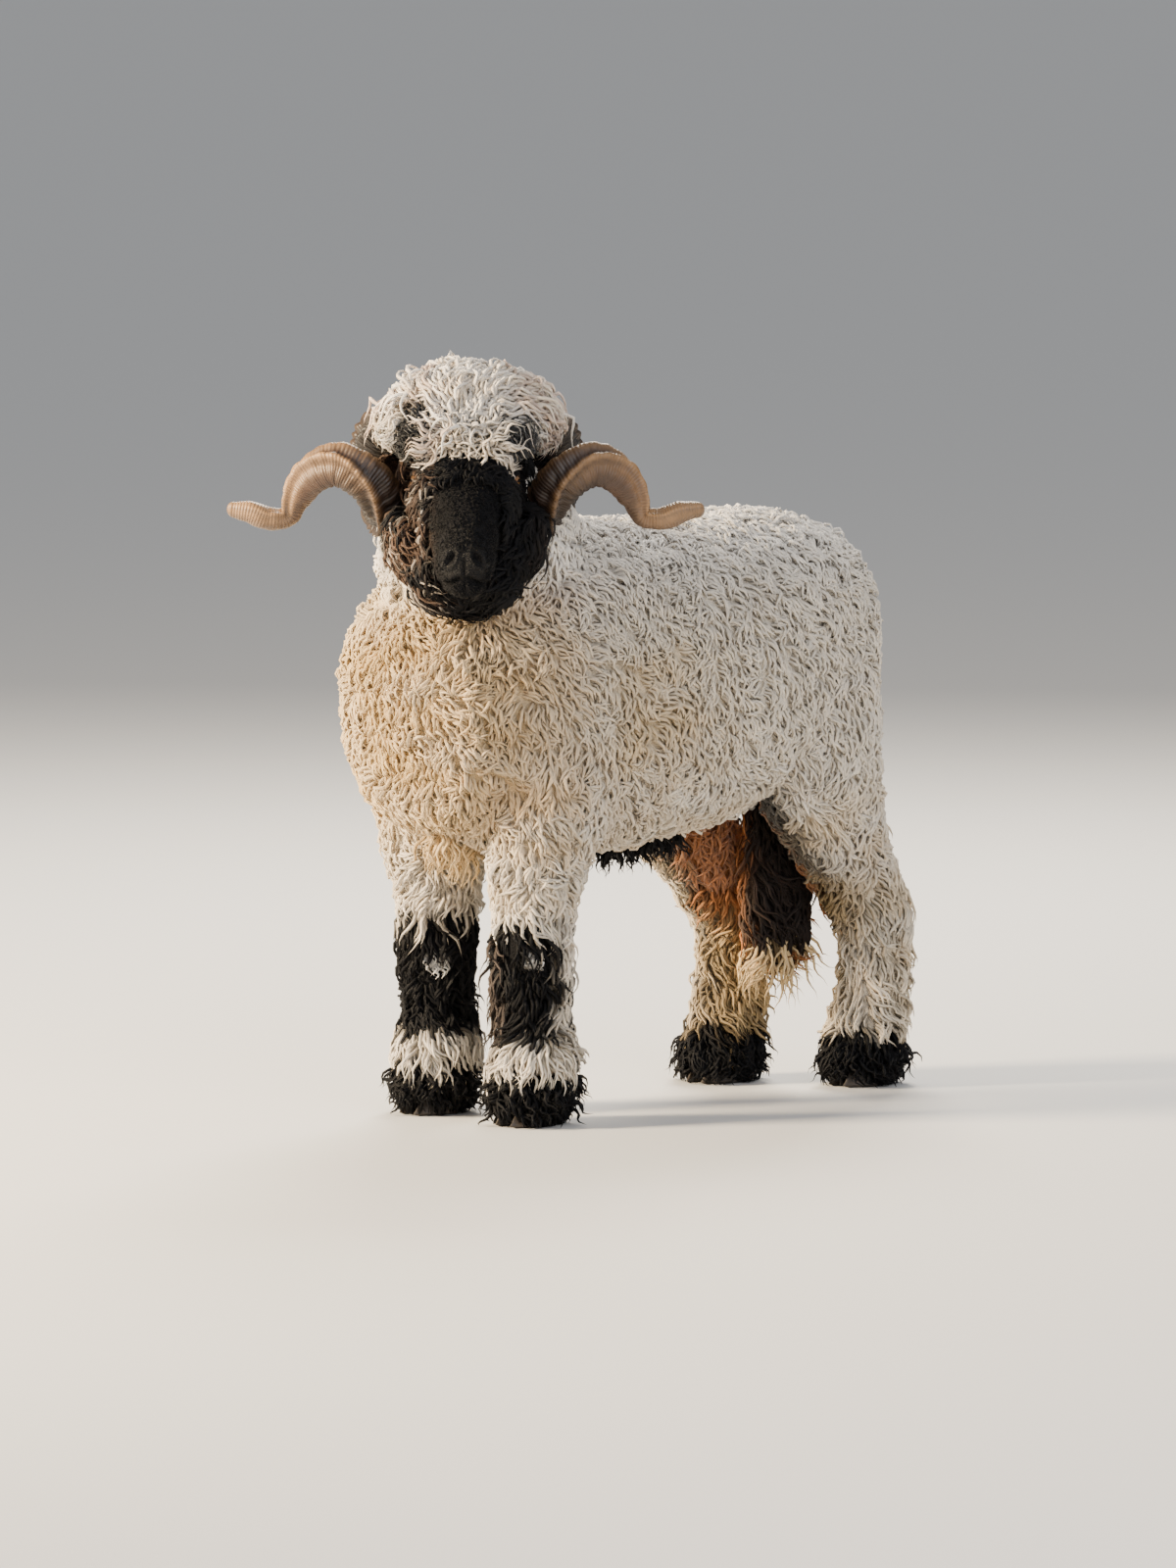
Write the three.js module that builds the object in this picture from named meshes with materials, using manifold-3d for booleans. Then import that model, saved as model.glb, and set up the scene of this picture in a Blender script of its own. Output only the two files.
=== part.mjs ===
import * as THREE from 'three';
import { mergeVertices } from 'three/addons/utils/BufferGeometryUtils.js';
import Module from 'manifold-3d';

// Valais blacknose ram, standing, in millimetres. It faces -Y and its left side is at +X.
// While the parts are made, Y = 0 is the line of the fore feet; the last lines centre the whole.
const gap = 0.3;
const kneeTop = 257;
const footTop = 62;
const woolHem = 5;
const elbowHeight = 350;
const stifleHeight = 372;
const foreSpread = 92;
const hindSpread = 80;
const leftHindReach = 632;
const rightHindReach = 520;
const headAt = [85, -115, 850];
const headTurn = 46;
const hoofSize = { long: 84, wide: 38, tall: 40, cleft: 5 };
const eyeRadius = 14;
const eyePlace = { along: 0.4, rise: 0.3, sunk: 9 };
const hornSpread = { left: 1, right: 1 };
const hornTwist = 1.2;

// Wool: depth of the coat over its core, spacing of the clumps, the share of their radius in
// it, and how deep a root sits
const coat = 28;
const legCoat = 18;
const clumpPitch = 146;
const legPitch = 128;
const clumpSpread = 0.66;
const rootDepth = 10;

const up = new THREE.Vector3(0, 0, 1);
const down = new THREE.Vector3(0, 0, -1);
const leftward = new THREE.Vector3(1, 0, 0);
const rightward = new THREE.Vector3(-1, 0, 0);
const turn = THREE.MathUtils.degToRad(headTurn);
const faceLeft = new THREE.Vector3(Math.cos(turn), Math.sin(turn), 0);
const faceRight = faceLeft.clone().negate();
const faceFront = new THREE.Vector3(Math.sin(turn), -Math.cos(turn), 0);

const finishes = {
  fleece: { color: 0xd8cbb4, roughness: 0.95, metalness: 0 },
  darkWool: { color: 0x1d1613, roughness: 0.9, metalness: 0 },
  brownWool: { color: 0x4a2a1a, roughness: 0.92, metalness: 0 },
  horn: { color: 0x9a7a5c, roughness: 0.55, metalness: 0 },
  hoof: { color: 0x2b2521, roughness: 0.5, metalness: 0 },
  eye: { color: 0x3a2616, roughness: 0.12, metalness: 0 },
};

// Solids that can be cut and joined
const wasm = await Module();
wasm.setup();

function solidOf(geometry) {
  const bare = geometry.clone();
  bare.deleteAttribute('normal');
  bare.deleteAttribute('uv');
  const merged = mergeVertices(bare, 1e-4);
  return new wasm.Manifold(new wasm.Mesh({
    numProp: 3,
    vertProperties: new Float32Array(merged.attributes.position.array),
    triVerts: new Uint32Array(merged.index.array),
  }));
}

// Seeded random numbers from 0 to 1
function seeded(state) {
  let value = state;
  return () => {
    value = (value * 1664525 + 1013904223) % 4294967296;
    return value / 4294967296;
  };
}

function join(solids) {
  return solids.reduce((whole, piece) => whole.add(piece));
}

function cut(solid, tools) {
  return tools.reduce((rest, tool) => rest.subtract(tool), solid);
}

function largest(solid) {
  const bodies = solid.decompose();
  return bodies.sort((a, b) => b.volume() - a.volume())[0];
}

function geometryOf(solid) {
  const mesh = solid.getMesh();
  const geometry = new THREE.BufferGeometry();
  const spots = new Float32Array(mesh.vertProperties);
  geometry.setAttribute('position', new THREE.BufferAttribute(spots, 3));
  geometry.setIndex(new THREE.BufferAttribute(new Uint32Array(mesh.triVerts), 1));
  return geometry;
}

// A form is a closed body carried along a smooth spine, with a dome at each end.
// A station holds x, y, z, half width across and half height; level keeps every ring flat.
class Form {
  constructor(stations, { across = leftward, domes = [30, 30], square = 2.2, level = null } = {}) {
    const curve = (pick) => new THREE.CatmullRomCurve3(stations.map(pick));
    this.spine = curve((s) => new THREE.Vector3(s[0], s[1], s[2]));
    this.sizes = curve((s) => new THREE.Vector3(s[3], s[4], 0));
    this.across = across;
    this.domes = domes;
    this.square = square;
    this.level = level;
    this.long = this.spine.getLength() + domes[0] + domes[1];
    this.from = domes[0] / this.long;
    this.to = 1 - domes[1] / this.long;
  }

  ring(s) {
    const first = s < this.from ? 1 - s / this.from : 0;
    const last = s > this.to ? (s - this.to) / (1 - this.to) : 0;
    const part = THREE.MathUtils.clamp((s - this.from) / (this.to - this.from), 0, 1);
    const t = this.spine.getUtoTmapping(part);
    const bow = (first || last) * Math.PI / 2;
    const push = first ? -this.domes[0] * Math.sin(bow) : this.domes[1] * Math.sin(bow);
    const shrink = Math.cos(bow);
    const tangent = this.level ?? this.spine.getTangent(t);
    const across = typeof this.across === 'function' ? this.across(part) : this.across;
    const side = across.clone().addScaledVector(tangent, -across.dot(tangent)).normalize();
    const high = side.clone().cross(tangent);
    const size = this.sizes.getPoint(t);
    const centre = this.spine.getPoint(t).addScaledVector(tangent, push);
    return { centre, side, high, wide: size.x, tall: size.y, shrink };
  }

  point(s, angle, grow = 0) {
    const ring = this.ring(s);
    const bend = (value) => Math.sign(value) * Math.abs(value) ** (2 / this.square) * ring.shrink;
    return ring.centre.clone()
      .addScaledVector(ring.side, (ring.wide + grow) * bend(Math.cos(angle)))
      .addScaledVector(ring.high, (ring.tall + grow) * bend(Math.sin(angle)));
  }

  // Unit vector out of the surface, from two short steps along it
  normal(s, angle) {
    const here = this.point(s, angle);
    const on = this.point(Math.min(s + 1e-3, 1), angle).sub(this.point(Math.max(s - 1e-3, 0), angle));
    const round = this.point(s, angle + 1e-3).sub(here);
    return on.cross(round).normalize();
  }

  geometry({ sides = 16, steps = 12, domeSteps = 3, grow = 0 } = {}) {
    const rows = [];
    for (let i = 1; i < domeSteps; i += 1) rows.push(this.from * i / domeSteps);
    for (let i = 0; i <= steps; i += 1) rows.push(this.from + (this.to - this.from) * i / steps);
    for (let i = 1; i < domeSteps; i += 1) rows.push(this.to + (1 - this.to) * i / domeSteps);
    const points = [];
    for (const s of rows) {
      for (let k = 0; k < sides; k += 1) points.push(this.point(s, 2 * Math.PI * k / sides, grow));
    }
    const ends = [this.ring(0), this.ring(1)].map((ring) => ring.centre);
    const out = ends[0].clone().sub(this.ring(this.from).centre).normalize();
    const far = ends[1].clone().sub(this.ring(this.to).centre).normalize();
    points.push(ends[0].addScaledVector(out, grow), ends[1].addScaledVector(far, grow));
    const count = rows.length * sides;
    const index = [];
    const id = (row, k) => row * sides + (k % sides);
    for (let k = 0; k < sides; k += 1) {
      index.push(count, id(0, k), id(0, k + 1));
      index.push(count + 1, id(rows.length - 1, k + 1), id(rows.length - 1, k));
      for (let row = 0; row < rows.length - 1; row += 1) {
        index.push(id(row, k), id(row + 1, k), id(row, k + 1));
        index.push(id(row, k + 1), id(row + 1, k), id(row + 1, k + 1));
      }
    }
    const geometry = new THREE.BufferGeometry().setFromPoints(points);
    geometry.setIndex(index);
    return geometry;
  }

  solid(options) {
    return solidOf(this.geometry(options));
  }

  // Share of the way along at which the spine passes a height
  alongAt(height) {
    let best = 0;
    for (let s = this.from; s < this.to; s += 0.004) {
      const off = Math.abs(this.ring(s).centre.z - height);
      if (off < Math.abs(this.ring(best).centre.z - height)) best = s;
    }
    return best;
  }

  // Below 1 where a point lies inside the form shrunk by the depth
  depthOf(point, depth) {
    let least = Infinity;
    for (let i = 0; i <= 24; i += 1) {
      const ring = this.ring(this.from + (this.to - this.from) * i / 24);
      const off = point.clone().sub(ring.centre);
      const across = off.dot(ring.side) / (ring.wide - depth);
      const high = off.dot(ring.high) / (ring.tall - depth);
      const along = off.dot(ring.side.clone().cross(ring.high)) / this.domes[0];
      least = Math.min(least, across ** 2 + high ** 2 + along ** 2);
    }
    return least;
  }
}

// Shares along a form at which rings lie one step apart over its surface, both poles included
function rowShares(form, step) {
  const count = 80;
  const lengths = [0];
  for (let i = 1; i <= count; i += 1) {
    const stride = form.point(i / count, 0.8).distanceTo(form.point((i - 1) / count, 0.8));
    lengths.push(lengths[i - 1] + stride);
  }
  const rows = Math.round(lengths[count] / step);
  return Array.from({ length: rows + 1 }, (_, row) => {
    const along = lengths.findIndex((value) => value >= lengths[count] * row / rows - 0.01);
    return THREE.MathUtils.clamp(along / count, 0.012, 0.988);
  });
}

// Rounded clumps over a form in staggered rows, each leaning down along the lie of the coat.
// Those whose root would lie in one of the other forms are left out.
function clumpsOn(form, { pitch = clumpPitch, depth = coat, seed, others, range = [0, 1] }) {
  const random = seeded(seed);
  const clumps = [];
  for (const [row, s] of rowShares(form, pitch * 0.87).entries()) {
    const ring = form.ring(s);
    const round = Math.PI * (ring.wide + ring.tall) * ring.shrink;
    const count = Math.max(1, Math.round(round / pitch));
    for (let k = 0; k < count; k += 1) {
      const angle = 2 * Math.PI * (k + 0.5 * (row % 2) + 0.14 * (random() - 0.5)) / count;
      const radius = pitch * clumpSpread * (0.95 + 0.1 * random());
      const lift = depth * (0.86 + 0.28 * random());
      const out = form.normal(s, angle);
      const place = form.point(s, angle).addScaledVector(out, -depth);
      const hidden = others.some(([other, inset]) => other.depthOf(place, inset) < 1);
      const outside = s < range[0] || s > range[1];
      if (!hidden && !outside) clumps.push(clump(place, out, radius, lift));
    }
  }
  return clumps;
}

// One clump: a low dome, a little longer down the coat, with its top pushed along the lie.
// Its profile holds the radius and height of each ring, from the top to the root.
const clumpSides = 6;
const clumpProfile = [[0, 1], [0.8, 0.55], [0.9, -0.3], [0, -0.6]];
function clump(place, out, radius, lift) {
  const lie = down.clone().addScaledVector(out, -down.dot(out));
  if (lie.length() < 0.3) lie.set(0, 1, 0).addScaledVector(out, -out.y);
  lie.normalize();
  const side = lie.clone().cross(out);
  const dome = new THREE.SphereGeometry(1, clumpSides, clumpProfile.length - 1);
  const spots = dome.attributes.position;
  for (let i = 0; i < spots.count; i += 1) {
    const [wide, high] = clumpProfile[Math.floor(i / (clumpSides + 1))];
    const turnBy = 2 * Math.PI * (i % (clumpSides + 1)) / clumpSides;
    const along = -wide * Math.sin(turnBy) * 1.06 + 0.2 * Math.max(0, high);
    spots.setXYZ(i, -wide * Math.cos(turnBy), along, high);
  }
  dome.applyMatrix4(new THREE.Matrix4().makeBasis(
    side.multiplyScalar(radius),
    lie.multiplyScalar(radius),
    out.clone().multiplyScalar(lift + rootDepth),
  ));
  const root = place.clone().addScaledVector(out, -rootDepth);
  dome.translate(root.x, root.y, root.z);
  return solidOf(dome);
}

// A flat, tapered lock that starts under a form's surface and lies along it to its tip.
// From and to are [share along, angle]; sunk is the depth of its root below the tips' surface.
function lock(form, from, to, { wide, thick, sunk, tip }) {
  const shares = [0, 0.42, 0.8, 1];
  const depths = [-sunk, -thick * 0.8, -thick * 0.4, tip];
  const widths = [0.36, 1, 0.62];
  const places = shares.map((share, i) => {
    const s = THREE.MathUtils.lerp(from[0], to[0], share);
    const angle = THREE.MathUtils.lerp(from[1], to[1], share);
    return form.point(s, angle).addScaledVector(form.normal(s, angle), depths[i]);
  });
  const stations = widths.map((width, i) => [...places[i], wide / 2 * width, thick / 2 * width]);
  const across = form.normal(...from).cross(places[3].clone().sub(places[0])).normalize();
  const reach = places[3].distanceTo(places[2]);
  const shape = new Form(stations, { across, domes: [1, reach], square: 2 });
  return shape.solid({ sides: 4, steps: 2, domeSteps: 1 });
}

// A ring of locks round a form between two shares along it, side by side with a little air
function lockRing(form, from, to, count, size, seed, arc = [0, 2 * Math.PI]) {
  const random = seeded(seed);
  const locks = [];
  const ring = form.ring((from + to) / 2);
  const wide = (arc[1] - arc[0]) / count * (ring.wide + ring.tall) / 2 * ring.shrink * 0.8;
  for (let k = 0; k < count; k += 1) {
    const angle = THREE.MathUtils.lerp(arc[0], arc[1], (k + 0.5 + 0.1 * (random() - 0.5)) / count);
    const sway = 0.16 * (random() - 0.5);
    const reach = THREE.MathUtils.lerp(from, to, 0.86 + 0.2 * random());
    locks.push(lock(form, [from, angle], [reach, angle + sway], { wide, ...size }));
  }
  return locks;
}

// A six-sided block between two corners; its top climbs by rise from low x to high x
function block(low, high, rise = 0) {
  const size = low.map((value, i) => high[i] - value);
  const box = new THREE.BoxGeometry(...size);
  box.translate(...low.map((value, i) => (value + high[i]) / 2));
  const place = box.attributes.position;
  for (let i = 0; i < place.count; i += 1) {
    const part = (place.getX(i) - low[0]) / size[0];
    if (place.getZ(i) > low[2] + 1) place.setZ(i, place.getZ(i) + rise * part);
  }
  return solidOf(box);
}

// A large block that holds all that lies beyond a plane
function beyond(at, direction) {
  const reach = 1600;
  const box = new THREE.BoxGeometry(reach, reach, reach);
  box.translate(0, 0, reach / 2);
  box.applyQuaternion(new THREE.Quaternion().setFromUnitVectors(up, direction.clone().normalize()));
  box.translate(at.x, at.y, at.z);
  return solidOf(box);
}

// A place on the head from its side (left is plus), front and height off the skull's centre
function headPoint(side, front, high) {
  return new THREE.Vector3(...headAt)
    .addScaledVector(faceLeft, side)
    .addScaledVector(faceFront, front)
    .addScaledVector(up, high);
}

function headStation(side, front, high, wide, tall) {
  return [...headPoint(side, front, high), wide, tall];
}

// An ellipsoid in the head's own directions, turned down by pitch
function headBall(at, radii, { pitch = 0, detail = [10, 6], grow = 0 } = {}) {
  const sphere = new THREE.SphereGeometry(1, ...detail);
  sphere.scale(...radii.map((value) => value + grow));
  sphere.rotateX(pitch);
  sphere.applyMatrix4(new THREE.Matrix4().makeBasis(faceLeft, faceFront.clone().negate(), up));
  sphere.translate(at.x, at.y, at.z);
  return solidOf(sphere);
}

// Forms of the body, out to the tips of its wool
const torsoForm = new Form([
  [0, -112, 542, 148, 168],
  [0, -40, 550, 186, 212],
  [0, 60, 562, 205, 232],
  [0, 180, 563, 212, 226],
  [0, 300, 570, 212, 218],
  [0, 410, 588, 205, 206],
  [0, 495, 598, 193, 195],
  [0, 558, 600, 178, 178],
], { domes: [58, 50], square: 2.35 });

const neckForm = new Form([
  [0, 90, 610, 160, 160],
  [6, 8, 690, 148, 158],
  [34, -52, 775, 128, 140],
  [62, -92, 840, 108, 112],
], { across: rightward, domes: [30, 40], square: 2.1 });

const tailForm = new Form([
  [0, 566, 708, 44, 38],
  [0, 618, 682, 47, 34],
  [0, 642, 610, 50, 30],
  [0, 650, 510, 46, 28],
  [0, 650, 410, 34, 24],
], { domes: [16, 40], square: 2.1 });

const scrotumForm = new Form([
  [6, 520, 430, 30, 46],
  [6, 524, 360, 31, 50],
  [6, 530, 290, 34, 58],
  [6, 532, 226, 34, 56],
], { domes: [20, 42], square: 2.1 });

function foreLegForm(side) {
  const foot = side * foreSpread;
  return new Form([
    [side * 102, 34, 560, 92, 120],
    [side * 108, 20, 470, 88, 108],
    [side * 100, 4, 380, 74, 84],
    [foot, 0, 290, 58, 62],
    [foot, -2, 210, 54, 57],
    [foot, 2, 130, 50, 54],
    [foot, 0, 92, 60, 62],
    [foot, -6, 36, 55, 62],
  ], { domes: [40, 30], square: 2.1 });
}

function hindLegForm(side, reach) {
  const foot = side * hindSpread;
  return new Form([
    [side * 98, reach - 142, 560, 92, 122],
    [side * 102, reach - 130, 470, 86, 112],
    [side * 94, reach - 84, 380, 70, 84],
    [foot, reach - 30, 300, 58, 66],
    [foot, reach + 8, 232, 52, 60],
    [foot, reach + 14, 150, 48, 52],
    [foot, reach + 6, 92, 54, 56],
    [foot, reach - 8, 36, 55, 62],
  ], { domes: [40, 30], square: 2.1 });
}

// Head from the back of the skull to the lips, with the bowed nose of the breed
const headForm = new Form([
  headStation(0, -30, 2, 60, 58),
  headStation(0, 4, -3, 70, 66),
  headStation(0, 42, -22, 67, 69),
  headStation(0, 82, -46, 55, 61),
  headStation(0, 118, -70, 43, 51),
  headStation(0, 146, -90, 37, 43),
  headStation(0, 164, -104, 34, 36),
], { across: faceRight, domes: [34, 18], square: 2.3 });

const topknotForm = new Form([
  headStation(0, -46, 68, 112, 74),
  headStation(0, 4, 74, 130, 78),
  headStation(0, 48, 50, 108, 60),
], { across: faceRight, domes: [46, 34], square: 2.15 });

const cheekForm = new Form([
  headStation(0, -24, -36, 92, 84),
  headStation(0, 30, -72, 108, 100),
  headStation(0, 64, -110, 84, 80),
], { across: faceRight, domes: [40, 26], square: 2.1 });

// Horn: out of the skull, back round the ear, forward at the cheek, out, over, and on to its tip.
// A station holds side, front, height, half width and half thickness.
const hornStations = [
  [48, -6, 46, 30, 24],
  [88, -36, 66, 31, 24],
  [116, -78, 50, 30, 23],
  [124, -108, 4, 29, 22],
  [112, -100, -42, 29, 21],
  [98, -46, -54, 30, 20],
  [102, 10, -36, 30, 19],
  [128, 40, 2, 30, 18],
  [166, 36, 20, 29, 16],
  [200, 20, 4, 26, 14],
  [219, 8, -26, 19, 12],
  [230, 4, -50, 13, 11],
  [252, 6, -52, 12, 11],
  [280, 6, -43, 11, 10],
  [300, 4, -40, 8, 7],
];

// Direction across a coiled body, carried along its spine without spin, then rolled by twist
function carriedAcross(spine, key, want, twist) {
  const count = 240;
  const frames = spine.computeFrenetFrames(count, false);
  const at = Math.round(key * count);
  const start = Math.atan2(want.dot(frames.binormals[at]), want.dot(frames.normals[at]));
  return (part) => {
    const i = Math.round(part * count);
    const angle = start + twist(part);
    return frames.normals[i].clone().multiplyScalar(Math.cos(angle))
      .addScaledVector(frames.binormals[i], Math.sin(angle));
  };
}

function hornForm(name, side) {
  const places = hornStations.map(([l, f, u, w, h]) => {
    return headStation(side * l * THREE.MathUtils.lerp(1, hornSpread[name], l / 300), f, u, w, h);
  });
  const form = new Form(places, { domes: [8, 9], square: 2.2 });
  const twist = (part) => side * THREE.MathUtils.smoothstep(part, 0.76, 0.92) * hornTwist;
  form.across = carriedAcross(form.spine, 0.66, up, twist);
  return form;
}

// Ear: a leaf-shaped cup that hangs out and forward from behind the eye
function earSolid(side, grow = 0) {
  const leaf = (lift, thin) => new Form([
    headStation(side * 58, -14 + lift, 12, 15 - thin, 12 - thin),
    headStation(side * 76, -8 + lift, 12, 25 - thin, 13 - thin),
    headStation(side * 98, -4 + lift, 4, 25 - thin, 11 - thin),
    headStation(side * 118, 0 + lift, -8, 15 - thin, 8 - thin),
  ], { across: up, domes: [8, 12], square: 2 });
  const shell = leaf(0, 0).solid({ sides: 8, steps: 5, domeSteps: 2, grow });
  if (grow) return shell;
  const hollow = leaf(11, 4).solid({ sides: 8, steps: 5, domeSteps: 2 });
  return shell.subtract(hollow);
}

// One claw of a hoof: a flat sole, a round heel and a pointed toe towards -Y
function clawSolid(at, side, grow = 0) {
  const { long, wide, tall, cleft } = hoofSize;
  const outline = new THREE.Shape();
  outline.moveTo(0, long * 0.42);
  const [outer, toe] = [side * wide, -long * 0.58];
  outline.bezierCurveTo(outer, long * 0.42, outer * 1.15, -long * 0.2, outer * 0.25, toe);
  outline.bezierCurveTo(0, -long * 0.62, 0, -long * 0.5, 0, 0);
  outline.closePath();
  const options = { depth: tall, steps: 1, bevelEnabled: false, curveSegments: 7 };
  const claw = new THREE.ExtrudeGeometry(outline, options);
  const place = claw.attributes.position;
  for (let i = 0; i < place.count; i += 1) {
    const rise = place.getZ(i) / tall;
    place.setX(i, place.getX(i) * (1 - 0.22 * rise));
    place.setY(i, place.getY(i) * (1 - 0.3 * rise) + 14 * rise);
  }
  claw.translate(-side * wide / 2, 0, -tall / 2);
  claw.scale(...[wide, long, tall].map((value) => (value + 2 * grow) / value));
  claw.translate(side * (wide + cleft) / 2 + at[0], at[1] - 10, tall / 2);
  return solidOf(claw);
}

// Wool of a leg below the elbow: two rings of locks over the knee or hock, one over the
// fetlock and one round the foot. A ring holds its top, its hem, how many, and how wide.
const kneeLocks = { thick: 12, sunk: 22, tip: -5 };
const hemLocks = { thick: 13, sunk: 22, tip: -3 };
const legRings = [
  { top: 312, hem: 222, count: 5, size: kneeLocks },
  { top: 228, hem: 140, count: 5, size: kneeLocks },
  { top: 146, hem: 68, count: 5, size: hemLocks },
  { top: 57, hem: 15, count: 4, size: hemLocks },
];

function legWool(leg, index) {
  const along = (height) => leg.form.alongAt(height);
  const rings = legRings.flatMap(({ top, hem, count, size }, i) => {
    return lockRing(leg.form, along(top), along(hem), count, size, 31 + 7 * index + i);
  });
  const others = [[torsoForm, coat * 1.2]];
  const range = [0.12, along(kneeTop + 80)];
  const upper = { pitch: legPitch, depth: legCoat, seed: 5 + index, others, range };
  return [...rings, ...clumpsOn(leg.form, upper)];
}

const legs = [];
for (const [name, side] of [['left', 1], ['right', -1]]) {
  const reach = side > 0 ? leftHindReach : rightHindReach;
  const foreFoot = [side * foreSpread, 0];
  const hindFoot = [side * hindSpread, reach];
  legs.push({ name: `front_${name}`, side, form: foreLegForm(side), foot: foreFoot });
  legs.push({ name: `hind_${name}`, side, form: hindLegForm(side, reach), foot: hindFoot });
}
const legForms = legs.map((leg) => [leg.form, legCoat * 1.2]);

// The whole body as one piece: a core half way up the coat, with the wool rooted in it
const flesh = join([
  torsoForm.solid({ sides: 12, steps: 7, domeSteps: 2, grow: -coat - 3 }),
  neckForm.solid({ sides: 10, steps: 4, domeSteps: 2, grow: -coat - 2 }),
  ...legs.map((leg) => leg.form.solid({ sides: 6, steps: 6, domeSteps: 2, grow: -legCoat })),
  ...clumpsOn(torsoForm, { seed: 3, others: [[neckForm, coat * 1.4], ...legForms] }),
  ...clumpsOn(neckForm, { seed: 11, others: [[torsoForm, coat * 1.4]], range: [0.1, 0.9] }),
  ...legs.flatMap(legWool),
]);

// Tail and purse: a core with tiers of hanging locks, and a full-width stub at the root
const tailShape = { sides: 6, steps: 4, domeSteps: 2 };
const purseShape = { sides: 6, steps: 3, domeSteps: 2 };
const hangingSize = { thick: 10, sunk: 15, tip: -1 };

const hangingCount = 3;
function hangingWool(form, shape, depth, tiers, stub, arc) {
  return join([
    form.solid({ ...shape, grow: -depth }),
    form.solid(shape).intersect(stub),
    ...tiers.flatMap(([from, to], i) => {
      return lockRing(form, from, to, hangingCount, hangingSize, 71 + i, arc);
    }),
  ]);
}

const tailStub = block([-200, 0, 690], [200, 900, 900]);
const purseStub = block([-200, 0, 330], [200, 900, 600]);
const tailTiers = [[0.24, 0.6], [0.6, 0.98]];
const purseTiers = [[0.34, 0.66], [0.66, 0.97]];
const tailWool = hangingWool(tailForm, tailShape, 11, tailTiers, tailStub, [-0.3, 3.4]);
const purseWool = hangingWool(scrotumForm, purseShape, 10, purseTiers, purseStub);
const purseCut = scrotumForm.solid({ ...purseShape, grow: 3 });
const purse = purseWool.intersect(scrotumForm.solid({ ...purseShape, grow: 1.5 }));
const parts = [];

function addPart(name, solid, finish) {
  parts.push({ name, solid: largest(solid), finish });
}

// Blocks round one leg, from low to high, for parting it from the body
function legBlock(leg, low, high, grow = 0, rise = 0) {
  const fore = leg.foot[1] - (leg.foot[1] > 200 ? 250 : 170) - grow;
  const rear = leg.foot[1] + (leg.foot[1] > 200 ? 110 : 105) + grow;
  const sides = [14 - grow, 300 + grow].map((value) => value * leg.side).sort((a, b) => a - b);
  const top = high + grow + (leg.side < 0 ? rise : 0);
  return block([sides[0], fore, low], [sides[1], rear, top], rise * leg.side);
}

let rest = flesh;
for (const leg of legs) {
  const rise = 150;
  const reach = leg.foot[1] > 200 ? stifleHeight : elbowHeight;
  const upper = flesh.intersect(legBlock(leg, kneeTop, reach, 0, rise));
  const lower = flesh.intersect(legBlock(leg, footTop, kneeTop - gap));
  addPart(`leg_${leg.name}`, upper.subtract(purseCut), 'fleece');
  addPart(`shank_${leg.name}`, lower.subtract(purseCut), 'darkWool');
  const claws = [1, -1].map((side) => clawSolid(leg.foot, side));
  const sockets = [1, -1].map((side) => clawSolid(leg.foot, side, gap));
  const ankle = flesh.intersect(legBlock(leg, woolHem, footTop - gap));
  addPart(`foot_${leg.name}`, cut(ankle, sockets), 'darkWool');
  addPart(`hoof_${leg.name}_outer`, claws[leg.side > 0 ? 0 : 1], 'hoof');
  addPart(`hoof_${leg.name}_inner`, claws[leg.side > 0 ? 1 : 0], 'hoof');
  rest = rest.subtract(legBlock(leg, -10, reach, gap, rise));
}

// Head, with its eyes, ears and horns
const headShape = { sides: 16, steps: 9, domeSteps: 3 };
const eyes = {};
for (const [name, flip] of [['left', true], ['right', false]]) {
  const angle = flip ? Math.PI - eyePlace.rise : eyePlace.rise;
  const out = headForm.normal(eyePlace.along, angle);
  eyes[name] = { out, at: headForm.point(eyePlace.along, angle).addScaledVector(out, -eyePlace.sunk) };
}
const eyeBall = (name, grow) => {
  return headBall(eyes[name].at, [eyeRadius, eyeRadius, eyeRadius], { detail: [10, 7], grow });
};

// A lid: a soft fold that bows over (+1) or under (-1) the eye
function lidSolid({ at, out }, rise) {
  const fore = faceFront.clone().addScaledVector(out, -faceFront.dot(out)).normalize();
  const high = fore.clone().cross(out).normalize();
  if (high.z < 0) high.negate();
  const stations = [-1.25, -0.7, 0, 0.7, 1.25].map((turnBy) => {
    const place = at.clone()
      .addScaledVector(fore, Math.sin(turnBy) * (eyeRadius + 2))
      .addScaledVector(high, rise * (Math.cos(turnBy) * eyeRadius * 0.72))
      .addScaledVector(out, 9 + 3 * Math.cos(turnBy));
    return [...place, 5, 4];
  });
  const lid = new Form(stations, { across: out, domes: [3, 3], square: 2 });
  return lid.solid({ sides: 5, steps: 4, domeSteps: 1 });
}

// Groove of the mouth, round the front of the muzzle from cheek to cheek
const mouthPlace = { angle: -0.62, back: 0.76 };
function mouthSolid() {
  const stations = [];
  for (let i = -4; i <= 4; i += 1) {
    const part = Math.abs(i) / 4;
    const s = THREE.MathUtils.lerp(0.992, mouthPlace.back, part ** 1.4);
    const angle = i < 0 ? mouthPlace.angle : Math.PI - mouthPlace.angle;
    stations.push([...headForm.point(s, angle), 1.6 + 0.8 * (1 - part), 1.6]);
  }
  const groove = new Form(stations, { across: up, domes: [2, 2], square: 2 });
  return groove.solid({ sides: 4, steps: 8, domeSteps: 1 });
}

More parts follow.
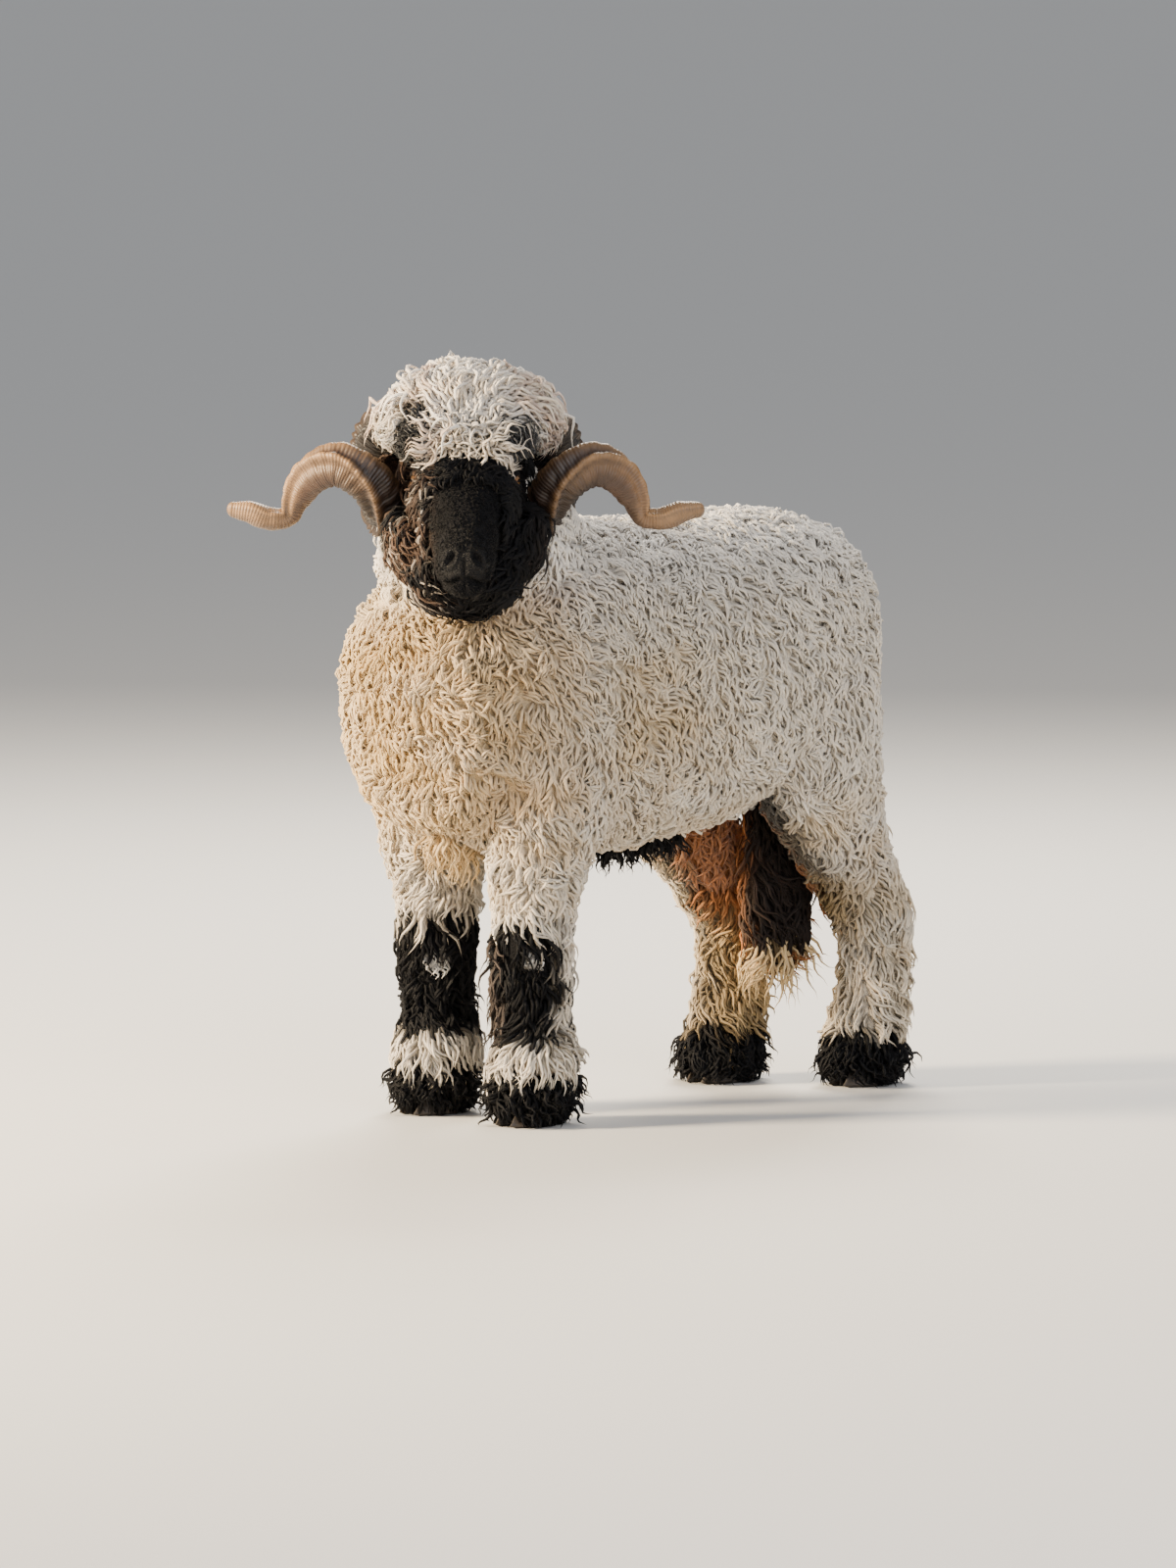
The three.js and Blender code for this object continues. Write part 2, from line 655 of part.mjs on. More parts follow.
// Rolls of the lips, the chin, and the brows over the eyes, in the head's own sizes
const folds = [
  { at: [0, 168, -100], radii: [27, 15, 15], pitch: 0.5 },
  { at: [0, 150, -127], radii: [24, 24, 14], pitch: 0.5 },
  { at: [0, 60, 22], radii: [34, 40, 16], pitch: 0.55 },
];
const nostrils = [-1, 1].map((side) => {
  return headBall(headPoint(side * 17, 178, -92), [8, 9, 4.5], { pitch: 0.9, detail: [8, 5] });
});

// Beard and cheek wool: tiers of locks round the face, hanging outward and down
const beardTiers = [
  { from: 0.14, to: 0.46, count: 5, arc: [-3.2, 0.06] },
  { from: 0.42, to: 0.72, count: 5, arc: [-3.3, 0.16] },
  { from: 0.66, to: 0.93, count: 4, arc: [-2.9, -0.24] },
];

function beardLocks() {
  return beardTiers.flatMap(({ from, to, count, arc }, i) => {
    return lockRing(cheekForm, from, to, count, { thick: 15, sunk: 30, tip: -2 }, 91 + i, arc);
  });
}

function skull(grow) {
  const folded = folds.map(({ at, radii, pitch }) => {
    return headBall(headPoint(...at), radii, { pitch, grow });
  });
  const cheeks = cheekForm.solid({ sides: 8, steps: 2, domeSteps: 2, grow: grow - 24 });
  return join([headForm.solid({ ...headShape, grow }), cheeks, ...folded]);
}

function headPieces() {
  const lids = Object.values(eyes).flatMap((eye) => [lidSolid(eye, 1), lidSolid(eye, -1)]);
  return join([skull(0), ...lids, ...beardLocks()]);
}

// Forelock and topknot: tiers of locks that spread from the crown over brow, sides and nape
const crown = [0.46, Math.PI / 2];
const crownDepth = 30;
const crownTiers = [
  { from: 0.08, to: 0.5, count: 4, wide: 80 },
  { from: 0.42, to: 0.78, count: 5, wide: 88 },
  { from: 0.68, to: 1.02, count: 8, wide: 74 },
];

function topknotPieces() {
  const random = seeded(17);
  const locks = crownTiers.flatMap(({ from, to, count, wide }) => {
    return Array.from({ length: count }, (_, k) => {
      const way = 2 * Math.PI * (k + 0.4 * random()) / count;
      const end = to * (0.88 + 0.24 * random());
      const spot = (r, sway) => [
        THREE.MathUtils.clamp(crown[0] + 0.5 * r * Math.cos(way + sway), 0.01, 0.99),
        crown[1] + 1.75 * r * Math.sin(way + sway),
      ];
      const size = { wide, thick: 16, sunk: 36, tip: -1 };
      return lock(topknotForm, spot(from, 0), spot(end, 0.24 * (random() - 0.5)), size);
    });
  });
  const root = topknotForm.point(...crown).addScaledVector(up, -crownDepth);
  const middle = clump(root, up, 62, crownDepth + 2);
  const core = topknotForm.solid({ sides: 12, steps: 4, domeSteps: 2, grow: -crownDepth });
  return join([core, middle, ...locks]);
}

const hornShape = { sides: 8, steps: 30, domeSteps: 2 };
const horns = { left: hornForm('left', 1), right: hornForm('right', -1) };
const hornCuts = Object.values(horns).map((form) => form.solid({ ...hornShape, grow: gap }));
const earCuts = [1, -1].map((side) => earSolid(side, gap));
const eyeCuts = Object.keys(eyes).map((name) => eyeBall(name, gap));
const room = 5;
const hornRoom = Object.values(horns).map((form) => {
  return form.solid({ sides: 7, steps: 18, domeSteps: 1, grow: 2 * room });
});
const topCuts = [skull(gap), ...hornRoom, ...earCuts];

const faceCuts = [mouthSolid(), ...nostrils, ...eyeCuts, ...hornCuts, ...earCuts];
addPart('head', cut(headPieces(), faceCuts), 'darkWool');
for (const [name, side] of [['left', 1], ['right', -1]]) {
  addPart(`eye_${name}`, eyeBall(name, 0), 'eye');
  addPart(`ear_${name}`, cut(earSolid(side), hornCuts), 'darkWool');
  addPart(`horn_${name}`, horns[name].solid(hornShape), 'horn');
}
addPart('topknot', cut(topknotPieces(), topCuts), 'fleece');

// Neck and torso are parted by a slanting cut in front of the withers
const neckCut = new THREE.Vector3(0, -20, 712);
const neckWay = new THREE.Vector3(0, -0.62, 0.785);
const neckCuts = [
  skull(gap),
  cheekForm.solid({ sides: 10, steps: 3, domeSteps: 2, grow: 3 * room }),
  topknotForm.solid({ sides: 10, steps: 3, domeSteps: 2, grow: room }),
  ...hornRoom,
];
addPart('neck', cut(rest.intersect(beyond(neckCut, neckWay)), neckCuts), 'fleece');
const trunk = rest.subtract(beyond(neckCut.clone().addScaledVector(neckWay, -gap), neckWay));
addPart('torso', cut(trunk, [tailForm.solid({ ...tailShape, grow: gap }), purseCut]), 'fleece');
addPart('tail', tailWool, 'fleece');
addPart('scrotum', purse, 'brownWool');

// Every part becomes a mesh, and the whole stands centred on the floor
const object = new THREE.Group();
const box = new THREE.Box3();
for (const part of parts) {
  const material = new THREE.MeshStandardMaterial(finishes[part.finish]);
  const mesh = new THREE.Mesh(geometryOf(part.solid), material);
  mesh.name = part.name;
  object.add(mesh);
  box.expandByObject(mesh);
}
object.position.set(-(box.min.x + box.max.x) / 2, -(box.min.y + box.max.y) / 2, -box.min.z);
object.updateMatrixWorld(true);

export default object;
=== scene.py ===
import bpy
import numpy as np
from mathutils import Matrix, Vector


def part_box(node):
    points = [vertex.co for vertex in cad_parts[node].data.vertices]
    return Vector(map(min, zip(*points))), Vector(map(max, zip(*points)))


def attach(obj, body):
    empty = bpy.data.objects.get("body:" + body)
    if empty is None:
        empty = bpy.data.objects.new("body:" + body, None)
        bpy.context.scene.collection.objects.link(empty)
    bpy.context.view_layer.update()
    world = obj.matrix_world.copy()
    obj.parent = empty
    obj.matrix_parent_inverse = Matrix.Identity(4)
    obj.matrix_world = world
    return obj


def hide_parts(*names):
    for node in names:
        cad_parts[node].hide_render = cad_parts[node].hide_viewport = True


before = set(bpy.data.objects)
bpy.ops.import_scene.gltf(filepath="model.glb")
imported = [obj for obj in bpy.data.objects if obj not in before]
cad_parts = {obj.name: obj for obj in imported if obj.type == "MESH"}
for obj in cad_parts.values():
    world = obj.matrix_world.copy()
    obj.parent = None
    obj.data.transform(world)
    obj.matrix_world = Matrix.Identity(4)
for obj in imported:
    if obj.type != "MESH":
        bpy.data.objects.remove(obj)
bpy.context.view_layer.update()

# A Valais blacknose ram in metres. It faces -Y, its left side is at +X, and the head is turned.
rng = np.random.default_rng(7)

# The solids were made round the line of the fore feet and then centred, so two flat cuts of
# the left foreleg, whose places off that line are known, give the shift to this frame.
foreCuts = {"x": 0.014, "y": 0.105}
foreLow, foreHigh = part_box("leg_front_left")
shift = np.array([foreLow[0] - foreCuts["x"], foreHigh[1] - foreCuts["y"], 0.0])

headTurn = np.radians(46)
headAt = np.array([0.085, -0.115, 0.850]) + shift
faceLeft = np.array([np.cos(headTurn), np.sin(headTurn), 0.0])
faceFront = np.array([np.sin(headTurn), -np.cos(headTurn), 0.0])
up = np.array([0.0, 0.0, 1.0])


def unit(vectors):
    # Each vector over its own length
    return vectors / np.maximum(np.linalg.norm(vectors, axis=-1, keepdims=True), 1e-9)


def smooth(low, high, value):
    # 0 below low, 1 above high, and the soft step 3t^2 - 2t^3 between them
    t = np.clip((value - low) / (high - low), 0, 1)
    return t * t * (3 - 2 * t)


def ripple(places, size, seed):
    # A soft field from -1 to 1: the mean of six sine waves of about one size in random directions
    waves = np.random.default_rng(seed)
    ways = unit(waves.normal(size=(6, 3))) * 2 * np.pi / size
    ways *= waves.uniform(0.7, 1.4, (6, 1))
    return np.sin(places @ ways.T + waves.uniform(0, 6.28, 6)).mean(axis=1) * 1.7


def headPoint(side, front, high):
    # A place on the head from its side (left is plus), front and height off the skull's centre
    return headAt + faceLeft * side + faceFront * front + up * high


def inHeadFrame(places):
    # Side, front and height of each place off the skull's centre
    off = places - headAt
    return off @ faceLeft, off @ faceFront, off[:, 2]


def headRows(rows):
    # Stations given in the head's own directions, turned into x, y, z, half width, half height
    return [[*headPoint(*row[:3]), *row[3:]] for row in rows]


def bodyRows(rows):
    # Stations given from the line of the fore feet, moved into this frame
    return [[*(np.array(row[:3]) + shift), *row[3:]] for row in rows]


def alongCurve(table, knots, at):
    # Cubic through the rows of a table: each span joins its ends with the mean slopes there
    slopes = np.gradient(table, knots, axis=0)
    span = np.clip(np.searchsorted(knots, at, side="right") - 1, 0, len(knots) - 2)
    wide = (knots[span + 1] - knots[span])[:, None]
    t = (at[:, None] - knots[span][:, None]) / wide
    first, last = table[span], table[span + 1]
    rise = slopes[span] * wide * (t ** 3 - 2 * t ** 2 + t)
    fall = slopes[span + 1] * wide * (t ** 3 - t ** 2)
    return first * (2 * t ** 3 - 3 * t ** 2 + 1) + last * (3 * t ** 2 - 2 * t ** 3) + rise + fall


# A body carried along a smooth spine with a dome at each end, as in the solids. The place at
# share s and angle a is centre + side * wide * c(a) + high * tall * c(a - 90 degrees), where
# c is the cosine raised to 2 / square with its sign kept; a dome shrinks it by a quarter turn.
class Form:
    def __init__(self, rows, across, domes, square):
        self.table = np.array(rows, float)
        gaps = np.linalg.norm(np.diff(self.table[:, :3], axis=0), axis=1)
        self.knots = np.concatenate([[0], np.cumsum(gaps)])
        self.across = np.array(across, float)
        self.domes = domes
        self.square = square
        self.long = self.knots[-1] + sum(domes)

    def rings(self, s):
        reach = np.atleast_1d(s).astype(float) * self.long - self.domes[0]
        total = self.knots[-1]
        on = np.clip(reach, 0, total)
        row = alongCurve(self.table, self.knots, on)
        ahead = alongCurve(self.table, self.knots, np.clip(on + 1e-4, 0, total))
        behind = alongCurve(self.table, self.knots, np.clip(on - 1e-4, 0, total))
        tangent = unit(ahead[:, :3] - behind[:, :3])
        first = np.clip(-reach / self.domes[0], 0, 1) * np.pi / 2
        last = np.clip((reach - total) / self.domes[1], 0, 1) * np.pi / 2
        push = self.domes[1] * np.sin(last) - self.domes[0] * np.sin(first)
        across = self.across
        if across.ndim == 2:
            shares = on / total * (len(across) - 1)
            across = alongCurve(across, np.arange(len(across), dtype=float), shares)
        side = unit(across - tangent * (across * tangent).sum(axis=-1, keepdims=True))
        high = np.cross(side, tangent)
        centre = row[:, :3] + tangent * push[:, None]
        return centre, side, high, row[:, 3], row[:, 4], np.cos(first + last)

    def at(self, s, angle, grow=0.0):
        centre, side, high, wide, tall, shrink = self.rings(s)

        def bend(v):
            return np.sign(v) * np.abs(v) ** (2 / self.square) * shrink

        x = (wide + grow) * bend(np.cos(angle))
        y = (tall + grow) * bend(np.sin(angle))
        return centre + side * x[:, None] + high * y[:, None]

    def out(self, s, angle):
        # Out of the surface: the step along crossed with the step round
        on = self.at(np.clip(s + 1e-3, 0, 1), angle) - self.at(np.clip(s - 1e-3, 0, 1), angle)
        return unit(np.cross(on, self.at(s, angle + 1e-3) - self.at(s, angle)))

    def shell(self, rows, sides, grow=0.0):
        # The whole surface as a grid of rings, closed at both ends by a pole
        s = np.repeat(np.linspace(0.004, 0.996, rows), sides)
        angle = np.tile(np.arange(sides) / sides * 2 * np.pi, rows)
        ends = self.rings(np.array([0.0, 1.0]))[0]
        return closedGrid(self.at(s, angle, grow).reshape(rows, sides, 3), ends)

    def locate(self, places):
        # Share, angle and depth of each place; the depth is below 1 inside the form
        shares = np.linspace(0.02, 0.98, 60)
        centre, side, high, wide, tall, shrink = self.rings(shares)
        off = places[:, None, :] - centre[None]
        across = (off * side).sum(-1)
        lift = (off * high).sum(-1)
        ahead = (off * np.cross(side, high)).sum(-1)
        wideHere, tallHere = wide * shrink + 1e-3, tall * shrink + 1e-3
        depth = (across / wideHere) ** 2 + (lift / tallHere) ** 2 + (ahead / 0.02) ** 2
        best = depth.argmin(axis=1)
        pick = np.arange(len(places))
        angle = np.arctan2(lift[pick, best] / tall[best], across[pick, best] / wide[best])
        return shares[best], angle, depth[pick, best]


def closedGrid(grid, ends):
    # Faces of a grid of rings: four corners each, and three at the poles that close it
    rows, sides = grid.shape[:2]
    ids = np.arange(rows * sides).reshape(rows, sides)
    on = np.roll(ids, -1, axis=1)
    quads = np.stack([ids[:-1], ids[1:], on[1:], on[:-1]], axis=-1).reshape(-1, 4)
    base = rows * sides
    low = np.stack([np.full(sides, base), ids[0], on[0], np.full(sides, -1)], axis=-1)
    top = np.stack([np.full(sides, base + 1), on[-1], ids[-1], np.full(sides, -1)], axis=-1)
    return np.vstack([grid.reshape(-1, 3), ends]), np.vstack([quads, low, top])


def joined(shells):
    # Several meshes as one: places stacked, and corners moved up by what came before
    places, faces, count = [], [], 0
    for spots, corners in shells:
        places.append(spots)
        faces.append(np.where(corners < 0, -1, corners + count))
        count += len(spots)
    return np.vstack(places), np.vstack(faces)


def makePiece(name, places, faces, material, shaded=True):
    # A mesh object from places and faces; a fourth corner of -1 marks a triangle
    mesh = bpy.data.meshes.new(name)
    keep = faces >= 0
    sizes = keep.sum(axis=1)
    mesh.vertices.add(len(places))
    mesh.vertices.foreach_set("co", np.ascontiguousarray(places, np.float32).ravel())
    mesh.loops.add(int(sizes.sum()))
    mesh.loops.foreach_set("vertex_index", faces[keep].astype(np.int32))
    mesh.polygons.add(len(faces))
    starts = np.concatenate([[0], np.cumsum(sizes)[:-1]])
    mesh.polygons.foreach_set("loop_start", starts.astype(np.int32))
    mesh.update(calc_edges=True)
    mesh.polygons.foreach_set("use_smooth", np.full(len(faces), shaded))
    piece = bpy.data.objects.new(name, mesh)
    bpy.context.scene.collection.objects.link(piece)
    if material:
        mesh.materials.append(material)
    return piece


def giveValues(piece, **layers):
    # Numbers or colours for the vertices, which the materials read by name
    for name, values in layers.items():
        kind, field, full = "FLOAT", "value", values
        if values.ndim == 2:
            kind, field = "FLOAT_COLOR", "color"
            full = np.hstack([values, np.ones((len(values), 1))])
        layer = piece.data.attributes.new(name, kind, "POINT")
        layer.data.foreach_set(field, full.astype(np.float32).ravel())


# Colours of the wool, as linear red, green and blue
wool = {
    "cream": (0.82, 0.74, 0.62),
    "pale": (0.92, 0.88, 0.82),
    "shade": (0.68, 0.60, 0.51),
    # The next colour is real staining on the flank and partly painted warm sunlight on the chest
    "stainAndSun": (0.68, 0.47, 0.20),
    # The next colour is painted shade, on the chest and between the topknot's locks
    "roseShade": (0.50, 0.33, 0.25),
    "black": (0.006, 0.006, 0.007),
    "brown": (0.098, 0.060, 0.041),
    "smoke": (0.062, 0.048, 0.041),
    # The next colour is red-brown wool with painted warm sunlight on it
    "sunlitRust": (0.42, 0.155, 0.050),
    "gold": (0.72, 0.51, 0.25),
}


def blend(first, second, share):
    return first + (np.array(second) - first) * share[:, None]


def allOf(name, count):
    return np.tile(np.array(wool[name]), (count, 1))


# The whorl that the topknot's locks spread from, and where the dark streaks over the ears run,
# as side and height
whorl = {"front": 0.086, "high": 0.046}
earStreaks = [((-0.048, 0.070), (-0.078, 0.022)), ((0.058, 0.060), (0.074, 0.010))]

# Markings of the body, in places off the line of the fore feet: heights of the dark patches on
# the legs, the middles of the pale spots in them, and round patches by middle and width, of
# which the one on the chest is painted shade
marks = {"kneeTop": 0.272, "kneeHem": 0.120, "bandHem": 0.078, "hindHem": 0.086,
         "rightSpot": (-0.063, -0.030, 0.212), "leftSpot": (0.120, -0.031, 0.222)}
roundPatches = {"chestShade": (0.10, 0.07, -0.03, 0.10), "flank": (0.12, 0.12, 0.54, 0.10),
                "sheath": (0.0, 0.07, 0.30, 0.055)}

# Soft edges of the other patches, each from where it starts to where it is full: across (x),
# back (y) or up (z) on the body, as a distance from a spot, and in the head's own directions
edges = {
    "litBack": (0.66, 0.78),
    "chestBack": (0.04, -0.10), "chestTop": (0.76, 0.64), "chestHem": (0.34, 0.44),
    "chestShadeTop": (0.78, 0.66), "chestShadeHem": (0.36, 0.46),
    "underTop": (0.47, 0.37), "underHem": (0.27, 0.32),
    "tasselSide": (0.06, 0.03), "tasselBack": (0.02, -0.06), "tasselTop": (0.40, 0.36),
    "sheathTop": (0.40, 0.36), "sheathRim": (0.25, 0.6),
    "groinSide": (0.13, 0.08), "groinFront": (0.37, 0.42), "groinBack": (0.62, 0.56),
    "groinTop": (0.50, 0.45),
    "foreBack": (0.26, 0.22), "stripSide": (0.112, 0.126), "stripFront": (-0.01, 0.01),
    "fringeSide": (0.084, 0.070), "fringeTop": (0.21, 0.16), "fringeHem": (0.080, 0.095),
    "leftSpot": (0.013, 0.009), "rightSpot": (0.018, 0.014), "rightHole": (0.005, 0.008),
    "hockTop": (0.40, 0.24),
    "innerSide": (0.075, 0.045), "innerBack": (0.635, 0.60), "innerHem": (0.10, 0.14),
    "goldTop": (0.28, 0.22), "sunlitRustTop": (0.46, 0.42), "sunlitRustHem": (0.20, 0.28),
    "footTop": (0.006, -0.006),
    "brownAndSunRight": (0.030, 0.065), "brownLeftCheek": (0.06, 0.10),
    "rosyShadeSide": (0.02, 0.05), "streakRim": (0.023, 0.015), "streakFront": (-0.03, 0.0),
    "purseBlack": (-0.008, 0.016), "purseHem": (0.205, 0.165),
}


def past(edge, value):
    # How far a value is past a named edge, from 0 to 1
    return smooth(*edges[edge], value)


def roundPatch(name, first, second):
    # A bell e^(-a^2 - b^2) over two directions, a and b in widths off the patch's middle
    middleA, wideA, middleB, wideB = roundPatches[name]
    return np.exp(-((first - middleA) / wideA) ** 2 - ((second - middleB) / wideB) ** 2)


def spotGap(places, name):
    return np.linalg.norm(places - shift - np.array(marks[name]), axis=1)


def bodyColour(places):
    # Cream fleece with stained chest and legs, black knees over a white band, and black feet,
    # with painted light on the back, chest and inner hind legs, and painted shade on the chest
    # and between the hind legs
    x, y, z = (places - shift).T
    colour = allOf("cream", len(places))
    # Painted light: the top of the back is paler, as where light falls from above
    colour = blend(colour, wool["pale"], past("litBack", z) * 0.7)
    colour = blend(colour, wool["shade"], smooth(-0.1, 1, ripple(places, 0.16, 3)) * 0.35)
    mottle = (0.5 + 0.7 * ripple(places, 0.09, 4)).clip(0, 1)
    # The golden chest is partly the wool's own staining and partly painted warm sunlight
    chest = past("chestBack", y) * past("chestTop", z) * past("chestHem", z)
    colour = blend(colour, wool["gold"], chest * 0.72)
    colour = blend(colour, wool["stainAndSun"], chest * mottle * 0.75)
    # Painted shade: a pinkish brown patch on the left of the chest, where the body shades itself
    chestShade = roundPatch("chestShade", x, y) * past("chestShadeHem", z)
    colour = blend(colour, wool["roseShade"], chestShade * past("chestShadeTop", z) * (0.15 + 0.35 * mottle))
    flank = roundPatch("flank", y, z) * (x > 0)
    colour = blend(colour, wool["stainAndSun"], flank * (0.35 + 0.4 * mottle))
    under = past("underTop", z) * past("underHem", z)
    colour = blend(colour, wool["gold"], under * mottle * 0.4)
    tassel = past("tasselSide", np.abs(x)) * past("tasselBack", y) * past("tasselTop", z)
    colour = blend(colour, wool["gold"], tassel * 0.9)
    sheath = roundPatch("sheath", x, y) * past("sheathTop", z)
    colour = blend(colour, wool["black"], past("sheathRim", sheath) * 0.95)
    # Black between the hind legs: partly dark wool, partly painted shade
    groin = past("groinSide", np.abs(x - 0.01)) * past("groinFront", y) * past("groinBack", y)
    colour = blend(colour, wool["black"], groin * past("groinTop", z) * 0.95)
    ragged = 0.008 * ripple(places, 0.03, 6)
    fore = past("foreBack", y)
    knee = smooth(marks["kneeTop"] + 0.006, marks["kneeTop"] - 0.006, z + ragged)
    knee *= smooth(marks["kneeHem"] - 0.005, marks["kneeHem"] + 0.005, z + ragged)
    outerStrip = past("stripSide", np.abs(x)) * past("stripFront", y)
    colour = blend(colour, wool["black"], knee * fore * (1 - outerStrip))
    fringe = fore * past("fringeSide", np.abs(x - 0.01)) * (x > 0) * past("fringeTop", z)
    colour = blend(colour, wool["smoke"], fringe * past("fringeHem", z) * mottle)
    colour = blend(colour, wool["pale"], past("leftSpot", spotGap(places, "leftSpot")))
    ring = spotGap(places, "rightSpot")
    colour = blend(colour, wool["pale"], past("rightSpot", ring) * past("rightHole", ring))
    hind = 1 - fore
    hock = hind * past("hockTop", z) * (0.3 + 0.7 * mottle)
    colour = blend(colour, wool["gold"], hock * 0.45)
    inner = hind * past("innerSide", np.abs(x)) * past("innerHem", z) * past("innerBack", y)
    colour = blend(colour, wool["gold"], inner * past("goldTop", z) * 0.9)
    # Red-brown low on the inner hind legs: the wool's own colour with painted warm sunlight
    colour = blend(colour, wool["sunlitRust"], inner * past("sunlitRustHem", z) * past("sunlitRustTop", z) * 0.9)
    hem = np.where(fore > 0.5, marks["bandHem"], marks["hindHem"])
    return blend(colour, wool["black"], past("footTop", z - hem + 1.4 * ragged))


def faceColour(places):
    # Black, with brown curls on the cheeks; more on the right, where the extra brown is painted
    # sunlight
    side = inHeadFrame(places)[0]
    patch = (0.6 + 0.8 * ripple(places, 0.03, 12)).clip(0, 1)
    # Painted sunlight: extra brown on the right cheek, where the light falls
    tint = past("brownAndSunRight", -side) + 0.35 * past("brownLeftCheek", side)
    return blend(allOf("black", len(places)), wool["brown"], tint * patch)


def crownColour(places):
    # Pale gold with painted pinkish brown shade towards the sides, and how far each place is in
    # the dark streaks over the ears
    side, front, high = inHeadFrame(places)
    golden = 0.12 + 0.35 * smooth(-0.2, 1, ripple(places, 0.05, 31))
    colour = blend(allOf("pale", len(places)), wool["gold"], golden)
    # Painted shade: pinkish brown patches, more towards the sides
    rosy = smooth(-0.4, 0.6, ripple(places, 0.035, 35)) * past("rosyShadeSide", np.abs(side - 0.01))
    colour = blend(colour, wool["roseShade"], rosy * 0.7)
    dark = np.zeros(len(places))
    for start, end in earStreaks:
        way = np.array(end) - np.array(start)
        spot = np.stack([side, high], axis=1) - np.array(start)
        part = np.clip(spot @ way / (way @ way), 0, 1)
        away = np.linalg.norm(spot - part[:, None] * way, axis=1)
        dark = np.maximum(dark, past("streakRim", away) * past("streakFront", front))
    return blend(colour, wool["black"], dark), dark


def purseColour(places):
    # Brown wool, red-brown on the right with painted warm sunlight on it, black on the left (partly
    # dark wool, partly painted shade), and gold at the hem
    x, _, z = (places - shift).T
    patch = ripple(places, 0.06, 9)
    # Painted warm sunlight: the right side of the purse turns red-brown
    sunlitSide = smooth(-0.6, 0.6, patch - x / 0.02)
    colour = blend(allOf("brown", len(places)), wool["sunlitRust"], sunlitSide)
    # Black on the left side: partly dark wool, partly painted shade
    colour = blend(colour, wool["black"], past("purseBlack", x) * 0.85)
    return blend(colour, wool["gold"], past("purseHem", z + 0.02 * patch) * 0.9)


def feed(node, *numbered, **named):
    # Each input, by number or by name, takes a link from an output or else a plain value
    for key, value in (*enumerate(numbered), *named.items()):
        socket = node.inputs[key.replace("_", " ") if isinstance(key, str) else key]
        if isinstance(value, bpy.types.NodeSocket):
            node.id_data.links.new(value, socket)
        else:
            socket.default_value = value


def addNode(tree, kind, settings, *numbered, **named):
    node = tree.nodes.new(kind)
    for key, value in settings.items():
        setattr(node, key, value)
    feed(node, *numbered, **named)
    return node


# Short forms for the nodes in use here: each adds its node and gives back its output
def vertexValue(tree, name):
    return addNode(tree, "ShaderNodeAttribute", {"attribute_name": name}).outputs["Fac"]


def maths(tree, operation, *numbered):
    return addNode(tree, "ShaderNodeMath", {"operation": operation}, *numbered).outputs[0]


def noise(tree, place, scale, detail, **named):
    return addNode(tree, "ShaderNodeTexNoise", {}, Vector=place, Scale=scale, Detail=detail,
                   **named).outputs["Fac"]


def mapped(tree, value, **named):
    return addNode(tree, "ShaderNodeMapRange", {}, Value=value, **named).outputs["Result"]


def mixed(tree, kind, **named):
    settings = {"data_type": "RGBA", "blend_type": kind}
    return addNode(tree, "ShaderNodeMix", settings, **named).outputs["Result"]


def dented(tree, height, strength, deep):
    return addNode(tree, "ShaderNodeBump", {}, Height=height, Strength=strength,
                   Distance=deep).outputs["Normal"]


def ramped(tree, value, stops):
    # Colours at places along a run from 0 to 1
    ramp = addNode(tree, "ShaderNodeValToRGB", {}, value)
    colours = ramp.color_ramp.elements
    for end in (0, -1):
        colours[end].position, colours[end].color = stops[end]
    for position, colour in stops[1:-1]:
        colours.new(position).color = colour
    return ramp.outputs["Color"]


def objectPlace(tree):
    return tree.nodes.new("ShaderNodeTexCoord").outputs["Object"]


def newMaterial(name, **named):
    # A material, its nodes and its main shader, with the shader's own values set
    material = bpy.data.materials.new(name)
    material.use_nodes = True
    shader = material.node_tree.nodes["Principled BSDF"]
    feed(shader, **named)
    return material, material.node_tree, shader


# Shader groups: inputs and outputs are named, and only colours, values and normals come out
def newGroup(name, inputs, outputs):
    group = bpy.data.node_groups.new(name, "ShaderNodeTree")
    for label, kind, value in inputs:
        socket = group.interface.new_socket(label, in_out="INPUT", socket_type=kind)
        socket.default_value = value
    for label, kind in outputs:
        group.interface.new_socket(label, in_out="OUTPUT", socket_type=kind)
    return group, group.nodes.new("NodeGroupInput"), group.nodes.new("NodeGroupOutput")


# Grain of the wool: scales of the cloudy and the fine noise, share of a tuft's length over which
# it pales, turns of the fibres round it, and what the fibres add to the shade and the bump
woolGrain = {"cloud": 38.0, "fine": 420.0, "paleBy": 0.7, "fibres": 12.566, "fibreShade": 0.13,
             "fibreBump": 0.35}


